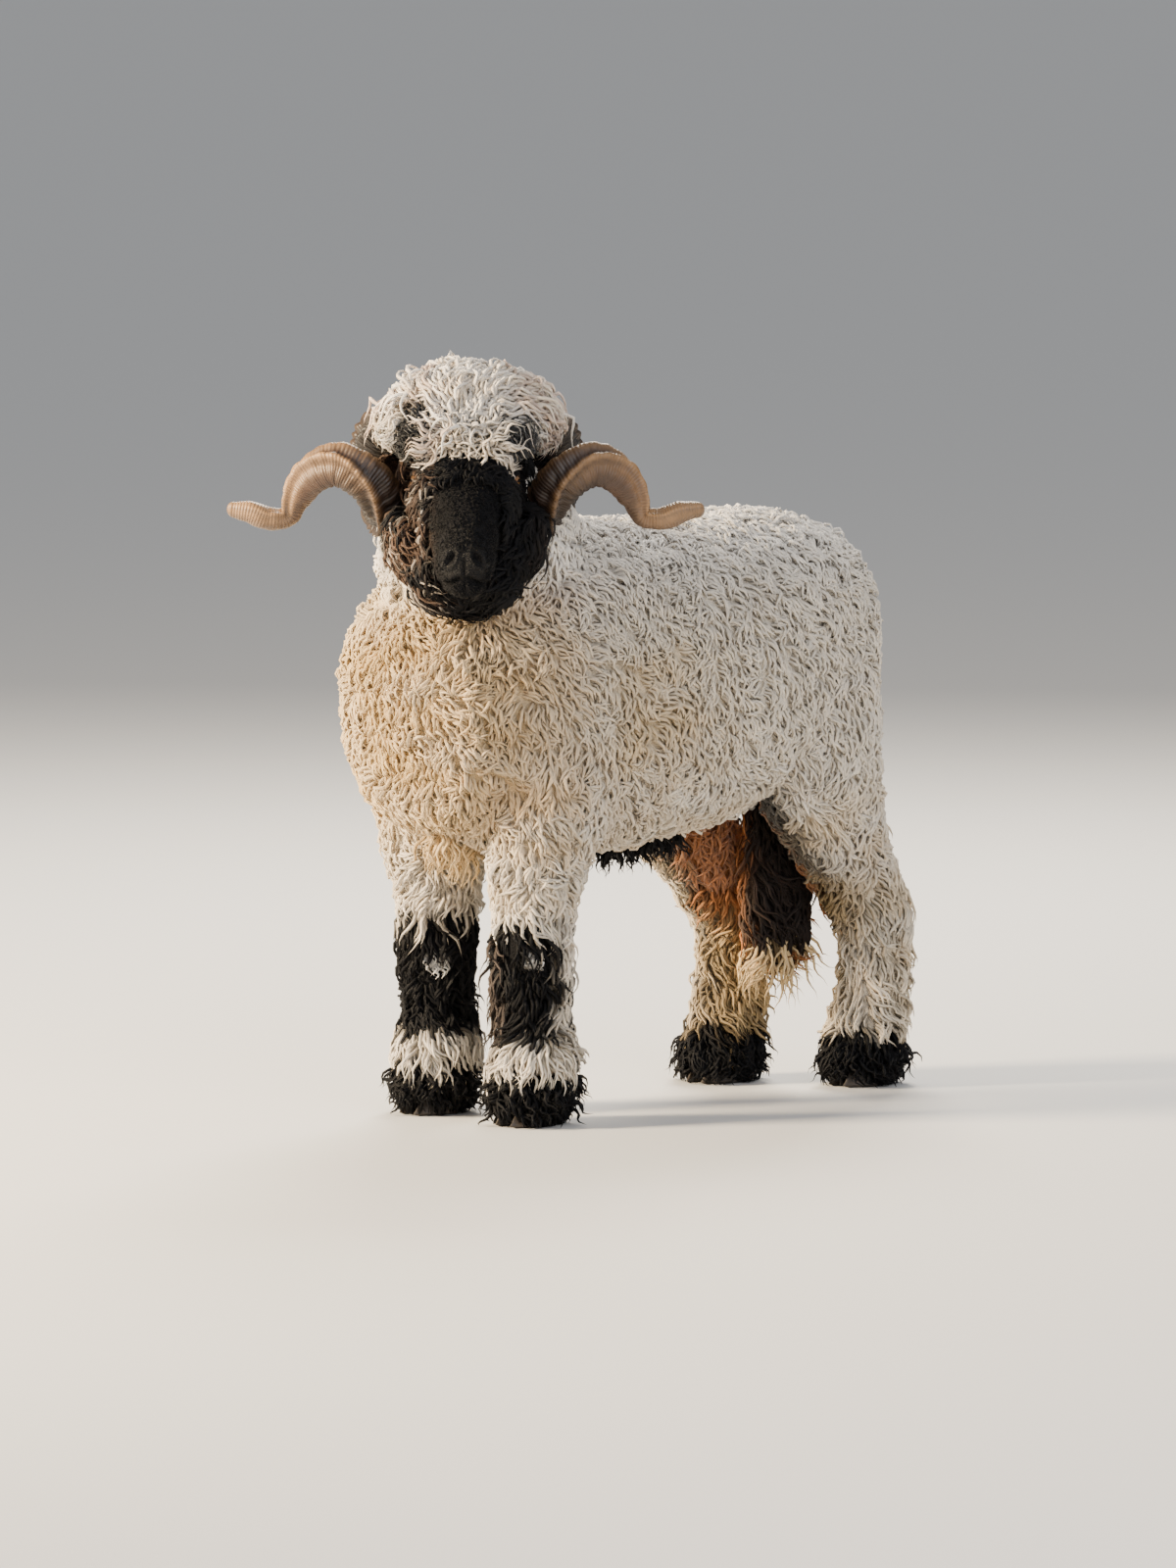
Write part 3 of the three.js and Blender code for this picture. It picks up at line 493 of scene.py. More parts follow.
def woolGroup():
    # Wool colour: the patch's colour, darker at the root as painted shade deep in the coat, paler
    # at the tip, varied from tuft to tuft and by a cloudy noise; fibres run along each tuft for the
    # bump and a little shade
    group, given, made = newGroup(
        "woolLook",
        [("Colour", "NodeSocketColor", (0.5, 0.4, 0.3, 1)), ("Root", "NodeSocketFloat", 0.45),
         ("Tip", "NodeSocketFloat", 1.2), ("Spread", "NodeSocketFloat", 0.25)],
        [("Colour", "NodeSocketColor"), ("Height", "NodeSocketFloat")])
    along, tone, strand = (vertexValue(group, name) for name in ("along", "tone", "strand"))
    place = objectPlace(group)
    # Painted shade: the colour darkens towards the root
    ramp = addNode(group, "ShaderNodeMapRange", {"interpolation_type": "SMOOTHSTEP"}, Value=along,
                   From_Max=woolGrain["paleBy"], To_Min=given.outputs["Root"],
                   To_Max=given.outputs["Tip"])
    varied = maths(group, "ADD", tone, noise(group, place, woolGrain["cloud"], 3.0))
    centred = maths(group, "SUBTRACT", varied, 1.0)
    spread = maths(group, "MULTIPLY_ADD", centred, given.outputs["Spread"], 1.0)
    turn = maths(group, "MULTIPLY_ADD", strand, woolGrain["fibres"], along)
    fibre = maths(group, "SINE", turn)
    lined = maths(group, "MULTIPLY_ADD", fibre, woolGrain["fibreShade"], spread)
    bright = maths(group, "MULTIPLY", ramp.outputs["Result"], lined)
    final = addNode(group, "ShaderNodeVectorMath", {"operation": "SCALE"},
                    given.outputs["Colour"], Scale=bright)
    grain = noise(group, place, woolGrain["fine"], 2.0)
    height = maths(group, "MULTIPLY_ADD", fibre, woolGrain["fibreBump"], grain)
    feed(made, Colour=final.outputs[0], Height=height)
    return group


woolLook = woolGroup()


def woolMaterial(name, root, tip, spread, rough=0.92, sheen=0.25, bump=0.7, deep=0.0015):
    # Wool by its brightness at root and tip, a root under 1 being painted shade, the spread
    # between its tufts, and its finish
    material, tree, shader = newMaterial(name, Roughness=rough, Sheen_Weight=sheen,
                                         Sheen_Roughness=0.5, Specular_IOR_Level=0.14)
    hue = addNode(tree, "ShaderNodeAttribute", {"attribute_name": "hue"})
    look = addNode(tree, "ShaderNodeGroup", {"node_tree": woolLook}, Colour=hue.outputs["Color"],
                   Root=root, Tip=tip, Spread=spread)
    feed(shader, Base_Color=look.outputs["Colour"],
         Normal=dented(tree, look.outputs["Height"], bump, deep))
    return material


# A root brightness under 1 is painted shade deep in the coat, and the skin's 0.82 is painted shade
# in the gaps between the tufts
fleeceMaterial = woolMaterial("paleFleece", 0.86, 1.06, 0.24)
darkMaterial = woolMaterial("blackWool", 0.5, 1.2, 0.6, rough=0.55, sheen=0.0)
skinMaterial = woolMaterial("skinUnderWool", 0.82, 0.82, 0.5, sheen=0.0, bump=1.0, deep=0.005)
skinTree = skinMaterial.node_tree
feed(skinTree.nodes["Principled BSDF"],
     Roughness=mapped(skinTree, vertexValue(skinTree, "wet"), To_Min=0.92, To_Max=0.38))

# Forms of the body out to the tips of its wool, from the same sizes as the solids
leftSide = (1, 0, 0)
torsoForm = Form(bodyRows([
    [0, -0.112, 0.542, 0.148, 0.168],
    [0, -0.040, 0.550, 0.186, 0.212],
    [0, 0.060, 0.562, 0.205, 0.232],
    [0, 0.180, 0.563, 0.212, 0.226],
    [0, 0.300, 0.570, 0.212, 0.218],
    [0, 0.410, 0.588, 0.205, 0.206],
    [0, 0.495, 0.598, 0.193, 0.195],
    [0, 0.558, 0.600, 0.178, 0.178],
]), leftSide, (0.058, 0.050), 2.35)
neckForm = Form(bodyRows([
    [0, 0.090, 0.610, 0.160, 0.160],
    [0.006, 0.008, 0.690, 0.148, 0.158],
    [0.034, -0.052, 0.775, 0.128, 0.140],
    [0.062, -0.092, 0.840, 0.108, 0.112],
]), (-1, 0, 0), (0.030, 0.040), 2.1)
tailForm = Form(bodyRows([
    [0, 0.566, 0.708, 0.044, 0.038],
    [0, 0.618, 0.682, 0.047, 0.034],
    [0, 0.642, 0.610, 0.050, 0.030],
    [0, 0.650, 0.510, 0.046, 0.028],
    [0, 0.650, 0.410, 0.034, 0.024],
]), leftSide, (0.016, 0.040), 2.1)
purseForm = Form(bodyRows([
    [0.006, 0.520, 0.430, 0.030, 0.046],
    [0.006, 0.524, 0.360, 0.031, 0.050],
    [0.006, 0.530, 0.290, 0.034, 0.058],
    [0.006, 0.532, 0.226, 0.034, 0.056],
]), leftSide, (0.020, 0.042), 2.1)

footSpread = {"fore": 0.092, "hind": 0.080}
hindReach = {1: 0.632, -1: 0.520}


def foreLeg(side):
    foot = side * footSpread["fore"]
    return Form(bodyRows([
        [side * 0.102, 0.034, 0.560, 0.092, 0.120],
        [side * 0.108, 0.020, 0.470, 0.088, 0.108],
        [side * 0.100, 0.004, 0.380, 0.074, 0.084],
        [foot, 0, 0.290, 0.058, 0.062],
        [foot, -0.002, 0.210, 0.054, 0.057],
        [foot, 0.002, 0.130, 0.050, 0.054],
        [foot, 0, 0.092, 0.060, 0.062],
        [foot, -0.006, 0.036, 0.055, 0.062],
    ]), leftSide, (0.040, 0.030), 2.1)


def hindLeg(side):
    foot = side * footSpread["hind"]
    reach = hindReach[side]
    return Form(bodyRows([
        [side * 0.098, reach - 0.142, 0.560, 0.092, 0.122],
        [side * 0.102, reach - 0.130, 0.470, 0.086, 0.112],
        [side * 0.094, reach - 0.084, 0.380, 0.070, 0.084],
        [foot, reach - 0.030, 0.300, 0.058, 0.066],
        [foot, reach + 0.008, 0.232, 0.052, 0.060],
        [foot, reach + 0.014, 0.150, 0.048, 0.052],
        [foot, reach + 0.006, 0.092, 0.054, 0.056],
        [foot, reach - 0.008, 0.036, 0.055, 0.062],
    ]), leftSide, (0.040, 0.030), 2.1)


legForms = [foreLeg(1), foreLeg(-1), hindLeg(1), hindLeg(-1)]
headForm = Form(headRows([
    [0, -0.030, 0.002, 0.060, 0.058],
    [0, 0.004, -0.003, 0.070, 0.066],
    [0, 0.042, -0.022, 0.067, 0.069],
    [0, 0.082, -0.046, 0.055, 0.061],
    [0, 0.118, -0.070, 0.043, 0.051],
    [0, 0.146, -0.090, 0.037, 0.043],
    [0, 0.164, -0.104, 0.034, 0.036],
]), -faceLeft, (0.034, 0.018), 2.3)
topForm = Form(headRows([
    [0, -0.046, 0.068, 0.112, 0.074],
    [0, 0.004, 0.074, 0.130, 0.078],
    [0, 0.048, 0.050, 0.108, 0.060],
]), -faceLeft, (0.046, 0.034), 2.15)
cheekForm = Form(headRows([
    [0, -0.024, -0.036, 0.092, 0.084],
    [0, 0.030, -0.072, 0.108, 0.100],
    [0, 0.064, -0.110, 0.084, 0.080],
]), -faceLeft, (0.040, 0.026), 2.1)


def remeshed(name, shells, size, rounds):
    # One closed skin of even squares over several crossing shells, relaxed to lose its steps
    block = makePiece(name, *joined(shells), None)
    remesh = block.modifiers.new("skin", "REMESH")
    remesh.mode = "VOXEL"
    remesh.voxel_size = size
    relax = block.modifiers.new("relax", "SMOOTH")
    relax.factor = 0.5
    relax.iterations = rounds
    graph = bpy.context.evaluated_depsgraph_get()
    whole = bpy.data.meshes.new_from_object(block.evaluated_get(graph))
    places = np.zeros(len(whole.vertices) * 3, np.float32)
    whole.vertices.foreach_get("co", places)
    corners = np.zeros(len(whole.loops), np.int32)
    whole.loops.foreach_get("vertex_index", corners)
    bpy.data.meshes.remove(whole)
    bpy.data.objects.remove(block)
    return places.reshape(-1, 3).astype(float), corners.reshape(-1, 4)


def normalsOf(places, quads):
    # At each vertex the mean of the crossed diagonals of the faces round it
    first, second, third, fourth = (places[quads[:, corner]] for corner in range(4))
    ways = np.cross(third - first, fourth - second)
    total = np.zeros_like(places)
    for corner in range(4):
        np.add.at(total, quads[:, corner], ways)
    return unit(total)


# Depth of the coat over the skin for each form, and the size of the skin's squares
skinDepth = {"torso": 0.0165, "neck": 0.0165, "leg": 0.013, "tail": 0.013, "purse": 0.010,
             "core": 0.030}
skinSize = {"body": 0.0066, "head": 0.0024, "crown": 0.0046, "cheek": 0.0036}

bodyShells = [
    torsoForm.shell(60, 60, -skinDepth["torso"]),
    neckForm.shell(40, 48, -skinDepth["neck"]),
    tailForm.shell(36, 20, -skinDepth["tail"]),
    purseForm.shell(30, 24, -skinDepth["purse"]),
    *[leg.shell(60, 32, -skinDepth["leg"]) for leg in legForms],
]
bodyPlaces, bodyQuads = remeshed("bodyBlock", bodyShells, skinSize["body"], 6)
print("body skin:", len(bodyQuads), "faces")

# Rolls of the lips, the chin and the brow: place, radii and slant in the head's own directions
folds = {
    "lips": ((0, 0.168, -0.100), (0.027, 0.015, 0.015), 0.5),
    "chin": ((0, 0.150, -0.127), (0.024, 0.024, 0.014), 0.5),
    "brow": ((0, 0.060, 0.022), (0.034, 0.040, 0.016), 0.55),
}


def headBall(middle, radii, slant=0.0, rows=24, sides=28):
    # An ellipsoid round a place, in the head's own directions, turned down by slant
    lift = np.repeat(np.linspace(-1.54, 1.54, rows), sides)
    angle = -np.tile(np.arange(sides) / sides * 2 * np.pi, rows)
    ball = np.stack([np.cos(lift) * np.cos(angle), np.cos(lift) * np.sin(angle), np.sin(lift)],
                    axis=1)
    ends = np.array([[0, 0, -1.0], [0, 0, 1.0]])
    spots = np.vstack([ball, ends]) * np.array(radii)
    front = spots[:, 1] * np.cos(slant) + spots[:, 2] * np.sin(slant)
    high = spots[:, 2] * np.cos(slant) - spots[:, 1] * np.sin(slant)
    turned = middle - faceLeft * spots[:, :1] + faceFront * front[:, None] + up * high[:, None]
    return turned, closedGrid(ball.reshape(rows, sides, 3), ends)[1]


# Eyes sit in the sides of the head, behind the bow of the nose. Along and rise are the share and
# the angle on the head's form; a lid is an arc of lidTurn each way round the ball.
eyeSize = {"radius": 0.0140, "along": 0.40, "rise": 0.30, "sunk": 0.009, "pupilWide": 0.0062,
           "pupilTall": 0.0024, "lidTurn": 1.35, "lidGap": 0.002, "lidHigh": 0.74,
           "lidOut": 0.0085, "lidBow": 0.0035, "lidThick": 0.0042}
eyes = {}
for eyeName, eyeAngle in (("left", np.pi - eyeSize["rise"]), ("right", eyeSize["rise"])):
    spot = np.array([eyeSize["along"]])
    eyeOut = headForm.out(spot, np.array([eyeAngle]))[0]
    eyes[eyeName] = (headForm.at(spot, np.array([eyeAngle]))[0] - eyeOut * eyeSize["sunk"], eyeOut)


def lidShell(centre, out, rise, rows=18, sides=10):
    # A soft roll that bows over or under the eye: a thin tube along an arc round the ball
    fore = unit(faceFront - out * (faceFront @ out))
    high = np.cross(fore, out)
    high = high if high[2] > 0 else -high
    turn = np.linspace(-eyeSize["lidTurn"], eyeSize["lidTurn"], rows)
    radius = eyeSize["radius"]
    line = centre + fore * (np.sin(turn) * (radius + eyeSize["lidGap"]))[:, None]
    line = line + high * (rise * np.cos(turn) * radius * eyeSize["lidHigh"])[:, None]
    line = line + out * (eyeSize["lidOut"] + eyeSize["lidBow"] * np.cos(turn))[:, None]
    tangent = unit(np.gradient(line, axis=0))
    across = unit(np.cross(tangent, out))
    lift = np.cross(across, tangent)
    angle = np.arange(sides) / sides * 2 * np.pi
    thick = eyeSize["lidThick"] * np.sin(np.linspace(0.35, np.pi - 0.35, rows)) ** 0.5
    ring = across[:, None] * np.cos(angle)[:, None] + lift[:, None] * np.sin(angle)[:, None]
    grid = line[:, None] + ring * thick[:, None, None]
    return closedGrid(grid, line[[0, -1]])


headShells = [headForm.shell(60, 48)]
headShells += [headBall(headPoint(*at), radii, slant) for at, radii, slant in folds.values()]
headShells += [lidShell(*eye, rise) for eye in eyes.values() for rise in (1, -1)]
headPlaces, headQuads = remeshed("headBlock", headShells, skinSize["head"], 4)
print("head skin:", len(headQuads), "faces")

# Carving of the face: nostrils, line of the mouth with its lips, and folds over the nose
face = {"nostril": (0.017, 0.178, -0.092), "nostrilWide": 0.0042, "nostrilTall": 0.0085,
        "nostrilDepth": 0.011, "rimAt": 1.9, "rimWide": 0.5, "rimHigh": 0.002,
        "mouthAngle": -0.62, "mouthFront": 0.992, "mouthBack": 0.76, "mouthWide": 0.0030,
        "mouthDepth": 0.0045, "lipAt": 0.0085, "lipWide": 0.005, "lip": 0.0022,
        "cleftWide": 0.0018, "cleftDepth": 0.003, "wrinkle": 0.0006}


def carvedHead(places, quads):
    # Each feature moves the skin along its normal by its depth times a bell over the distance
    normals = normalsOf(places, quads)
    side, front, high = inHeadFrame(places)
    move = np.zeros(len(places))
    for flip in (-1, 1):
        across = side - flip * face["nostril"][0]
        over = high - face["nostril"][2]
        slit = ((across + flip * 0.5 * over) / face["nostrilWide"]) ** 2
        slit = slit + ((over - flip * 0.3 * across) / face["nostrilTall"]) ** 2
        slit = slit + ((front - face["nostril"][1]) / 0.02) ** 2
        move -= face["nostrilDepth"] * np.exp(-slit)
        rim = np.abs(np.sqrt(slit) - face["rimAt"])
        move += face["rimHigh"] * np.exp(-(rim / face["rimWide"]) ** 2)
    part = np.abs(np.linspace(-1, 1, 61))
    share = face["mouthFront"] + (face["mouthBack"] - face["mouthFront"]) * part ** 1.4
    angle = np.where(np.arange(61) < 30, face["mouthAngle"], np.pi - face["mouthAngle"])
    line = headForm.at(share, angle)
    muzzle = np.flatnonzero(front > 0.05)
    away = np.linalg.norm(places[muzzle, None] - line[None], axis=-1).min(axis=1)
    groove = -face["mouthDepth"] * np.exp(-(away / face["mouthWide"]) ** 2)
    move[muzzle] += groove + face["lip"] * np.exp(-((away - face["lipAt"]) / face["lipWide"]) ** 2)
    cleft = np.exp(-(side / face["cleftWide"]) ** 2) * smooth(0.165, 0.175, front)
    cleft = cleft * smooth(-0.088, -0.096, high)
    move -= face["cleftDepth"] * cleft
    crease = np.sin(high / 0.0042 + 8 * np.abs(side)) * smooth(0.10, 0.14, front)
    move += face["wrinkle"] * crease
    return places + normals * move[:, None]


headPlaces = carvedHead(headPlaces, headQuads)

# Cores under the topknot and the beard; the topknot's sides close in with height, the right
# one more: each place moves in by squeeze * side
crownShell, cheekShell = (form.shell(36, 40, -skinDepth["core"]) for form in (topForm, cheekForm))
crownPlaces, crownQuads = remeshed("crownBlock", [crownShell], skinSize["crown"], 2)
cheekPlaces, cheekQuads = remeshed("cheekBlock", [cheekShell], skinSize["cheek"], 2)
coreSide, _, coreHigh = inHeadFrame(crownPlaces)
squeeze = np.where(coreSide < 0, 0.38, 0.10) * smooth(0.055, 0.135, coreHigh)
crownPlaces = crownPlaces - faceLeft * (coreSide * squeeze)[:, None]

skinParts = [(bodyPlaces, bodyQuads), (headPlaces, headQuads), (crownPlaces, crownQuads),
             (cheekPlaces, cheekQuads)]
skinPlaces, skinQuads = joined(skinParts)
skin = makePiece("skin", skinPlaces, skinQuads, skinMaterial)
inPurse = purseForm.locate(bodyPlaces)[2] < 1.3
bodyHue = np.where(inPurse[:, None], purseColour(bodyPlaces), bodyColour(bodyPlaces))
skinHue = np.vstack([bodyHue, faceColour(headPlaces), crownColour(crownPlaces)[0],
                     faceColour(cheekPlaces)])
_, skinFront, skinHigh = inHeadFrame(skinPlaces)
wetNose = smooth(0.160, 0.175, skinFront) * smooth(-0.125, -0.105, skinHigh)
giveValues(skin, hue=skinHue, along=np.zeros(len(skinPlaces)),
           tone=np.full(len(skinPlaces), 0.5), wet=wetNose)
fleshNodes = ["torso", "neck", "head", "topknot", "tail", "scrotum"]
fleshNodes += [f"{part}_{end}_{hand}" for part in ("leg", "shank", "foot")
               for end in ("front", "hind") for hand in ("left", "right")]
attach(skin, "root")
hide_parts(*fleshNodes)
print("skin:", len(skinQuads), "faces")


floorGap = 0.0015  # least height of the wool over the floor


def tuftGrid(roots, outs, lies, tips, look, seeds):
    # Each tuft is a tube of a few sides along a crimped line. At share u of its length the line
    # is root + lie * reach * u + out * lift(u) + side * sway * sin(turns + phase), and the ring
    # there is line + side * wide(u) * cos v + top * thick(u) * sin v. The lift climbs a quarter
    # sine to the crest and falls by a square from there, and by the body's own bend on the way.
    # Tips lean to their clump's middle.
    count, rings, sides = len(roots), look["rings"], look["sides"]
    u = np.linspace(0, 1, rings)
    size = (0.8 + 0.4 * seeds["size"]) * np.sqrt(seeds["scale"])
    short, long = look["reach"]
    reach = (short + (long - short) * seeds["size"]) * seeds["scale"]
    side = unit(np.cross(lies, outs))
    turn = 2 * np.pi * look["waves"] * (0.85 + 0.3 * seeds["size"])[:, None] * u
    turn = turn + seeds["phase"][:, None]
    past = np.clip((u - look["crest"]) / (1 - look["crest"]), 0, 1)
    climb = np.sin(np.minimum(u / look["crest"], 1) * np.pi / 2) - look["fall"] * past ** 2
    lift = (look["rise"] * (0.75 + 0.4 * seeds["lift"]) * size)[:, None] * climb - look["root"]
    ease = smooth(0, 0.35, u) * look["sway"]
    far = reach[:, None] * u
    lift = lift - look["curve"] * far ** 2 / 2
    line = roots[:, None] + lies[:, None] * far[..., None]
    line = line + side[:, None] * (ease * np.sin(turn))[..., None]
    line = line + outs[:, None] * (lift + 0.6 * ease * np.cos(turn))[..., None]
    line = line + tips[:, None] * (u ** 1.5)[:, None] - up * (look["droop"] * u ** 2)[:, None]
    tangent = unit(np.gradient(line, axis=1))
    flat = unit(side[:, None] - tangent * (side[:, None] * tangent).sum(-1, keepdims=True))
    top = np.cross(flat, tangent)
    taper = (1 - u ** 2.1) ** 0.8 * (0.55 + 0.45 * np.sin(np.pi * np.minimum(u + 0.15, 1)))
    taper = (size[:, None] * taper)[:, :-1, None, None]
    v = (np.arange(sides) / sides + 0.25) * 2 * np.pi
    ring = flat[:, :-1, None] * (np.cos(v) * look["wide"])[:, None]
    ring = ring + top[:, :-1, None] * (np.sin(v) * look["thick"])[:, None]
    grid = line[:, :-1, None] + ring * taper
    places = np.concatenate([grid.reshape(count, -1, 3), line[:, -1:]], axis=1)
    places[..., 2] = np.maximum(places[..., 2], floorGap)
    tip = (rings - 1) * sides
    ids = np.arange(tip).reshape(rings - 1, sides)
    on = np.roll(ids, -1, axis=1)
    quads = np.stack([ids[:-1], ids[1:], on[1:], on[:-1]], axis=-1).reshape(-1, 4)
    last = np.stack([ids[-1], np.full(sides, tip), on[-1], np.full(sides, -1)], axis=-1)
    pattern = np.vstack([quads, last])
    starts = (np.arange(count) * (tip + 1))[:, None, None]
    faces = np.where(pattern[None] < 0, -1, pattern[None] + starts).reshape(-1, 4)
    share = np.append(np.repeat(u[:-1], sides), 1.0)
    around = np.append(np.tile(np.arange(sides) / sides, rings - 1), 0.0)
    return places.reshape(-1, 3), faces, share, around


def nearestOf(places, middles):
    # Which of the middles is nearest to each place, a few thousand places at a time
    found = [((block[:, None] - middles[None]) ** 2).sum(-1).argmin(axis=1)
             for block in np.array_split(places, len(places) // 3000 + 1)]
    return np.concatenate(found)


bakeSize = {"edge": 0.01, "patch": 0.003}


def bakeMap(piece, unwrap, around, share):
    # The map OFBake: each tuft has a small patch at its root's place on the unwrapped body form
    low, high = unwrap.min(axis=0), unwrap.max(axis=0)
    room = 1 - 2 * bakeSize["edge"]
    home = bakeSize["edge"] + room * (unwrap - low) / np.maximum(high - low, 1e-6)
    patch = bakeSize["patch"] * (np.stack([around, share], axis=1) - 0.5)
    spots = (home[:, None] + patch[None]).reshape(-1, 2)
    layer = piece.data.uv_layers.new(name="OFBake")
    corners = np.zeros(len(piece.data.loops), np.int32)
    piece.data.loops.foreach_get("vertex_index", corners)
    layer.data.foreach_set("uv", spots[corners].astype(np.float32).ravel())


coatTotal = []


def growCoat(name, roots, outs, lies, hues, unwrap, look, scale=None):
    # Tufts gather in clumps: each takes part of the lie, phase and tone of the nearest clump's
    # middle, and its tip is drawn towards it. About one in thirty stands clear of the rest.
    count = len(roots)
    middles = rng.choice(count, max(1, count // look["clump"]), replace=False)
    nearest = nearestOf(roots, roots[middles])
    swirl = rng.normal(0, look["swirl"], len(middles))[nearest]
    swirl = swirl + rng.normal(0, look["stray"], count)
    side = unit(np.cross(lies, outs))
    lies = unit(lies * np.cos(swirl)[:, None] + side * np.sin(swirl)[:, None])
    pull = (roots[middles[nearest]] - roots) * look["gather"]
    pull = pull - outs * (pull * outs).sum(1, keepdims=True)
    tone = 0.55 * rng.uniform(0, 1, len(middles))[nearest] + 0.45 * rng.uniform(0, 1, count)
    seeds = {
        "size": rng.uniform(0, 1, count),
        "scale": np.ones(count) if scale is None else scale,
        "lift": 0.6 * rng.uniform(0, 1, len(middles))[nearest] + 0.4 * rng.uniform(0, 1, count),
        "phase": rng.uniform(0, 2 * np.pi, len(middles))[nearest] + rng.normal(0, 0.7, count),
    }
    seeds["lift"] += look["stand"] * (rng.uniform(0, 1, count) > 0.97)
    places, faces, share, around = tuftGrid(roots, outs, lies, pull, look, seeds)
    stride = len(share)
    piece = makePiece(name, places, faces, look["material"])
    giveValues(piece, hue=np.repeat(hues, stride, axis=0), along=np.tile(share, count),
               tone=np.repeat(tone, stride), strand=np.tile(around * look["sides"], count))
    bakeMap(piece, unwrap, around, share)
    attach(piece, "root")
    triangles = len(piece.data.loops) - 2 * len(faces)
    coatTotal.append(triangles)
    print(f"{name}: {count} tufts, {triangles} triangles")


def rootsOn(places, quads, share):
    # One place in each of a share of the faces, at random inside it, with the normal there
    normals = normalsOf(places, quads)
    picked = quads[rng.uniform(0, 1, len(quads)) < share]
    a, b = rng.uniform(0, 1, (2, len(picked), 1))
    near = places[picked[:, 0]] * (1 - a) + places[picked[:, 1]] * a
    far = places[picked[:, 3]] * (1 - a) + places[picked[:, 2]] * a
    return near * (1 - b) + far * b, unit(normals[picked].mean(axis=1))


def liesFrom(outs, way):
    # A wanted direction laid down into the surface
    return unit(way - outs * (way * outs).sum(axis=1, keepdims=True))


def wander(places, size, seeds):
    # A soft field of directions: one ripple for each of x, y and z
    return np.stack([ripple(places, size, seed) for seed in seeds], axis=1)


def unwrapped(located):
    # Angle and share of each place on its form, for the bake map
    return np.stack([located[1], located[0]], axis=1)


# Fleece of the trunk and legs: which form each root is on sets its place in the bake map. The
# longer wool of the tail, scrotum and lower legs is thinned to a smaller share of the faces.
# Along the back the wool parts over a strip, where its lie is more at random.
coatShare = {"fleece": 0.85, "long": 0.62}
parting = {"wide": 0.030, "strip": 0.07, "push": 0.7, "random": 0.55}
bodyRoots, bodyOuts = rootsOn(bodyPlaces, bodyQuads, coatShare["fleece"])
inHead = np.minimum(cheekForm.locate(bodyRoots)[2], topForm.locate(bodyRoots)[2]) < 0.78
bodyRoots, bodyOuts = bodyRoots[~inHead], bodyOuts[~inHead]
trunk, neck, tail, purse, firstLeg = range(5)  # which form a root is on, by its place below
bodyForms = (torsoForm, neckForm, tailForm, purseForm, *legForms)
located = [form.locate(bodyRoots) for form in bodyForms]
owner = np.stack([found[2] for found in located], axis=1).argmin(axis=1)
bodyMap = np.stack([unwrapped(found) for found in located], axis=1)
bodyMap = bodyMap[np.arange(len(owner)), owner] + np.stack([7.0 * owner, 0 * owner], axis=1)
low = (owner >= firstLeg) & ((bodyRoots - shift)[:, 2] < marks["kneeTop"] + 0.01)
thinned = rng.uniform(0, 1, len(owner)) > coatShare["long"] / coatShare["fleece"]
kept = ~((low | (owner == tail) | (owner == purse)) & thinned)
bodyRoots, bodyOuts, bodyMap, owner, low = (
    values[kept] for values in (bodyRoots, bodyOuts, bodyMap, owner, low))
local = bodyRoots - shift
onTop = smooth(0.6, 1.0, bodyOuts[:, 2])
parted = local[:, 0] + parting["wide"] * ripple(bodyRoots, 0.09, 24)
parted = np.tanh(parted / parting["wide"]) * onTop
ridge = onTop * smooth(parting["strip"], 0.01, np.abs(local[:, 0]))
bodyWay = np.array([0, 0.35, -1.0]) + 0.4 * wander(bodyRoots, 0.12, (21, 22, 23))
bodyWay = bodyWay + parting["push"] * parted[:, None] * np.array([1, 0, 0])
bodyWay += parting["random"] * rng.normal(0, 1, bodyWay.shape) * ridge[:, None]
bodyLies = liesFrom(bodyOuts, bodyWay)
bodyHues = bodyColour(bodyRoots)

# A tuft's look: reach along the skin and rise over it, root below the skin, width and thickness,
# waves and their sway, rings and sides, tufts in a clump and how they swirl, stray and gather,
# where the crest is, the fall past it, how many stand clear, and the bend of the body below
fleeceLook = {"reach": (0.020, 0.034), "rise": 0.0130, "root": 0.004, "wide": 0.0030,
              "thick": 0.0022, "waves": 0.60, "sway": 0.0036, "rings": 5, "sides": 3, "clump": 10,
              "swirl": 0.50, "stray": 0.32, "gather": 0.25, "crest": 0.40, "fall": 0.45,
              "droop": 0.0, "stand": 0.9, "curve": 3.0, "material": fleeceMaterial}
sleeveLook = dict(fleeceLook, reach=(0.022, 0.040), rise=0.0125)
kneeLook = dict(fleeceLook, rings=7, reach=(0.034, 0.056), rise=0.0130, wide=0.0031, waves=1.0,
                sway=0.0042, swirl=0.28, stray=0.2, gather=0.6, fall=0.35, material=darkMaterial)
tailLook = dict(kneeLook, reach=(0.042, 0.072), rise=0.0120, waves=1.3)

trunkCuts = {"front": -0.17, "long": 0.20}
zones = np.clip(((local[:, 1] - trunkCuts["front"]) / trunkCuts["long"]).astype(int), 0, 3)
coats = [("fleece_neck", owner == neck, dict(fleeceLook, rings=7), "fleece"),
         ("fleece_tail", owner == tail, dict(tailLook, material=fleeceMaterial), "fleece"),
         ("wool_scrotum", owner == purse, tailLook, "brown_wool")]
for zone in range(4):
    for sideName, sign in (("left", 1), ("right", -1)):
        here = (owner == trunk) & (zones == zone) & (np.sign(local[:, 0]) == sign)
        coats.append((f"fleece_trunk_{zone + 1}_{sideName}", here, fleeceLook, "fleece"))
for index, legName in enumerate(("front_left", "front_right", "hind_left", "hind_right")):
    mine = owner == firstLeg + index
    coats.append((f"sleeve_{legName}", mine & ~low, sleeveLook, "fleece"))
    coats.append((f"wool_{legName}", mine & low, kneeLook, "dark_wool"))
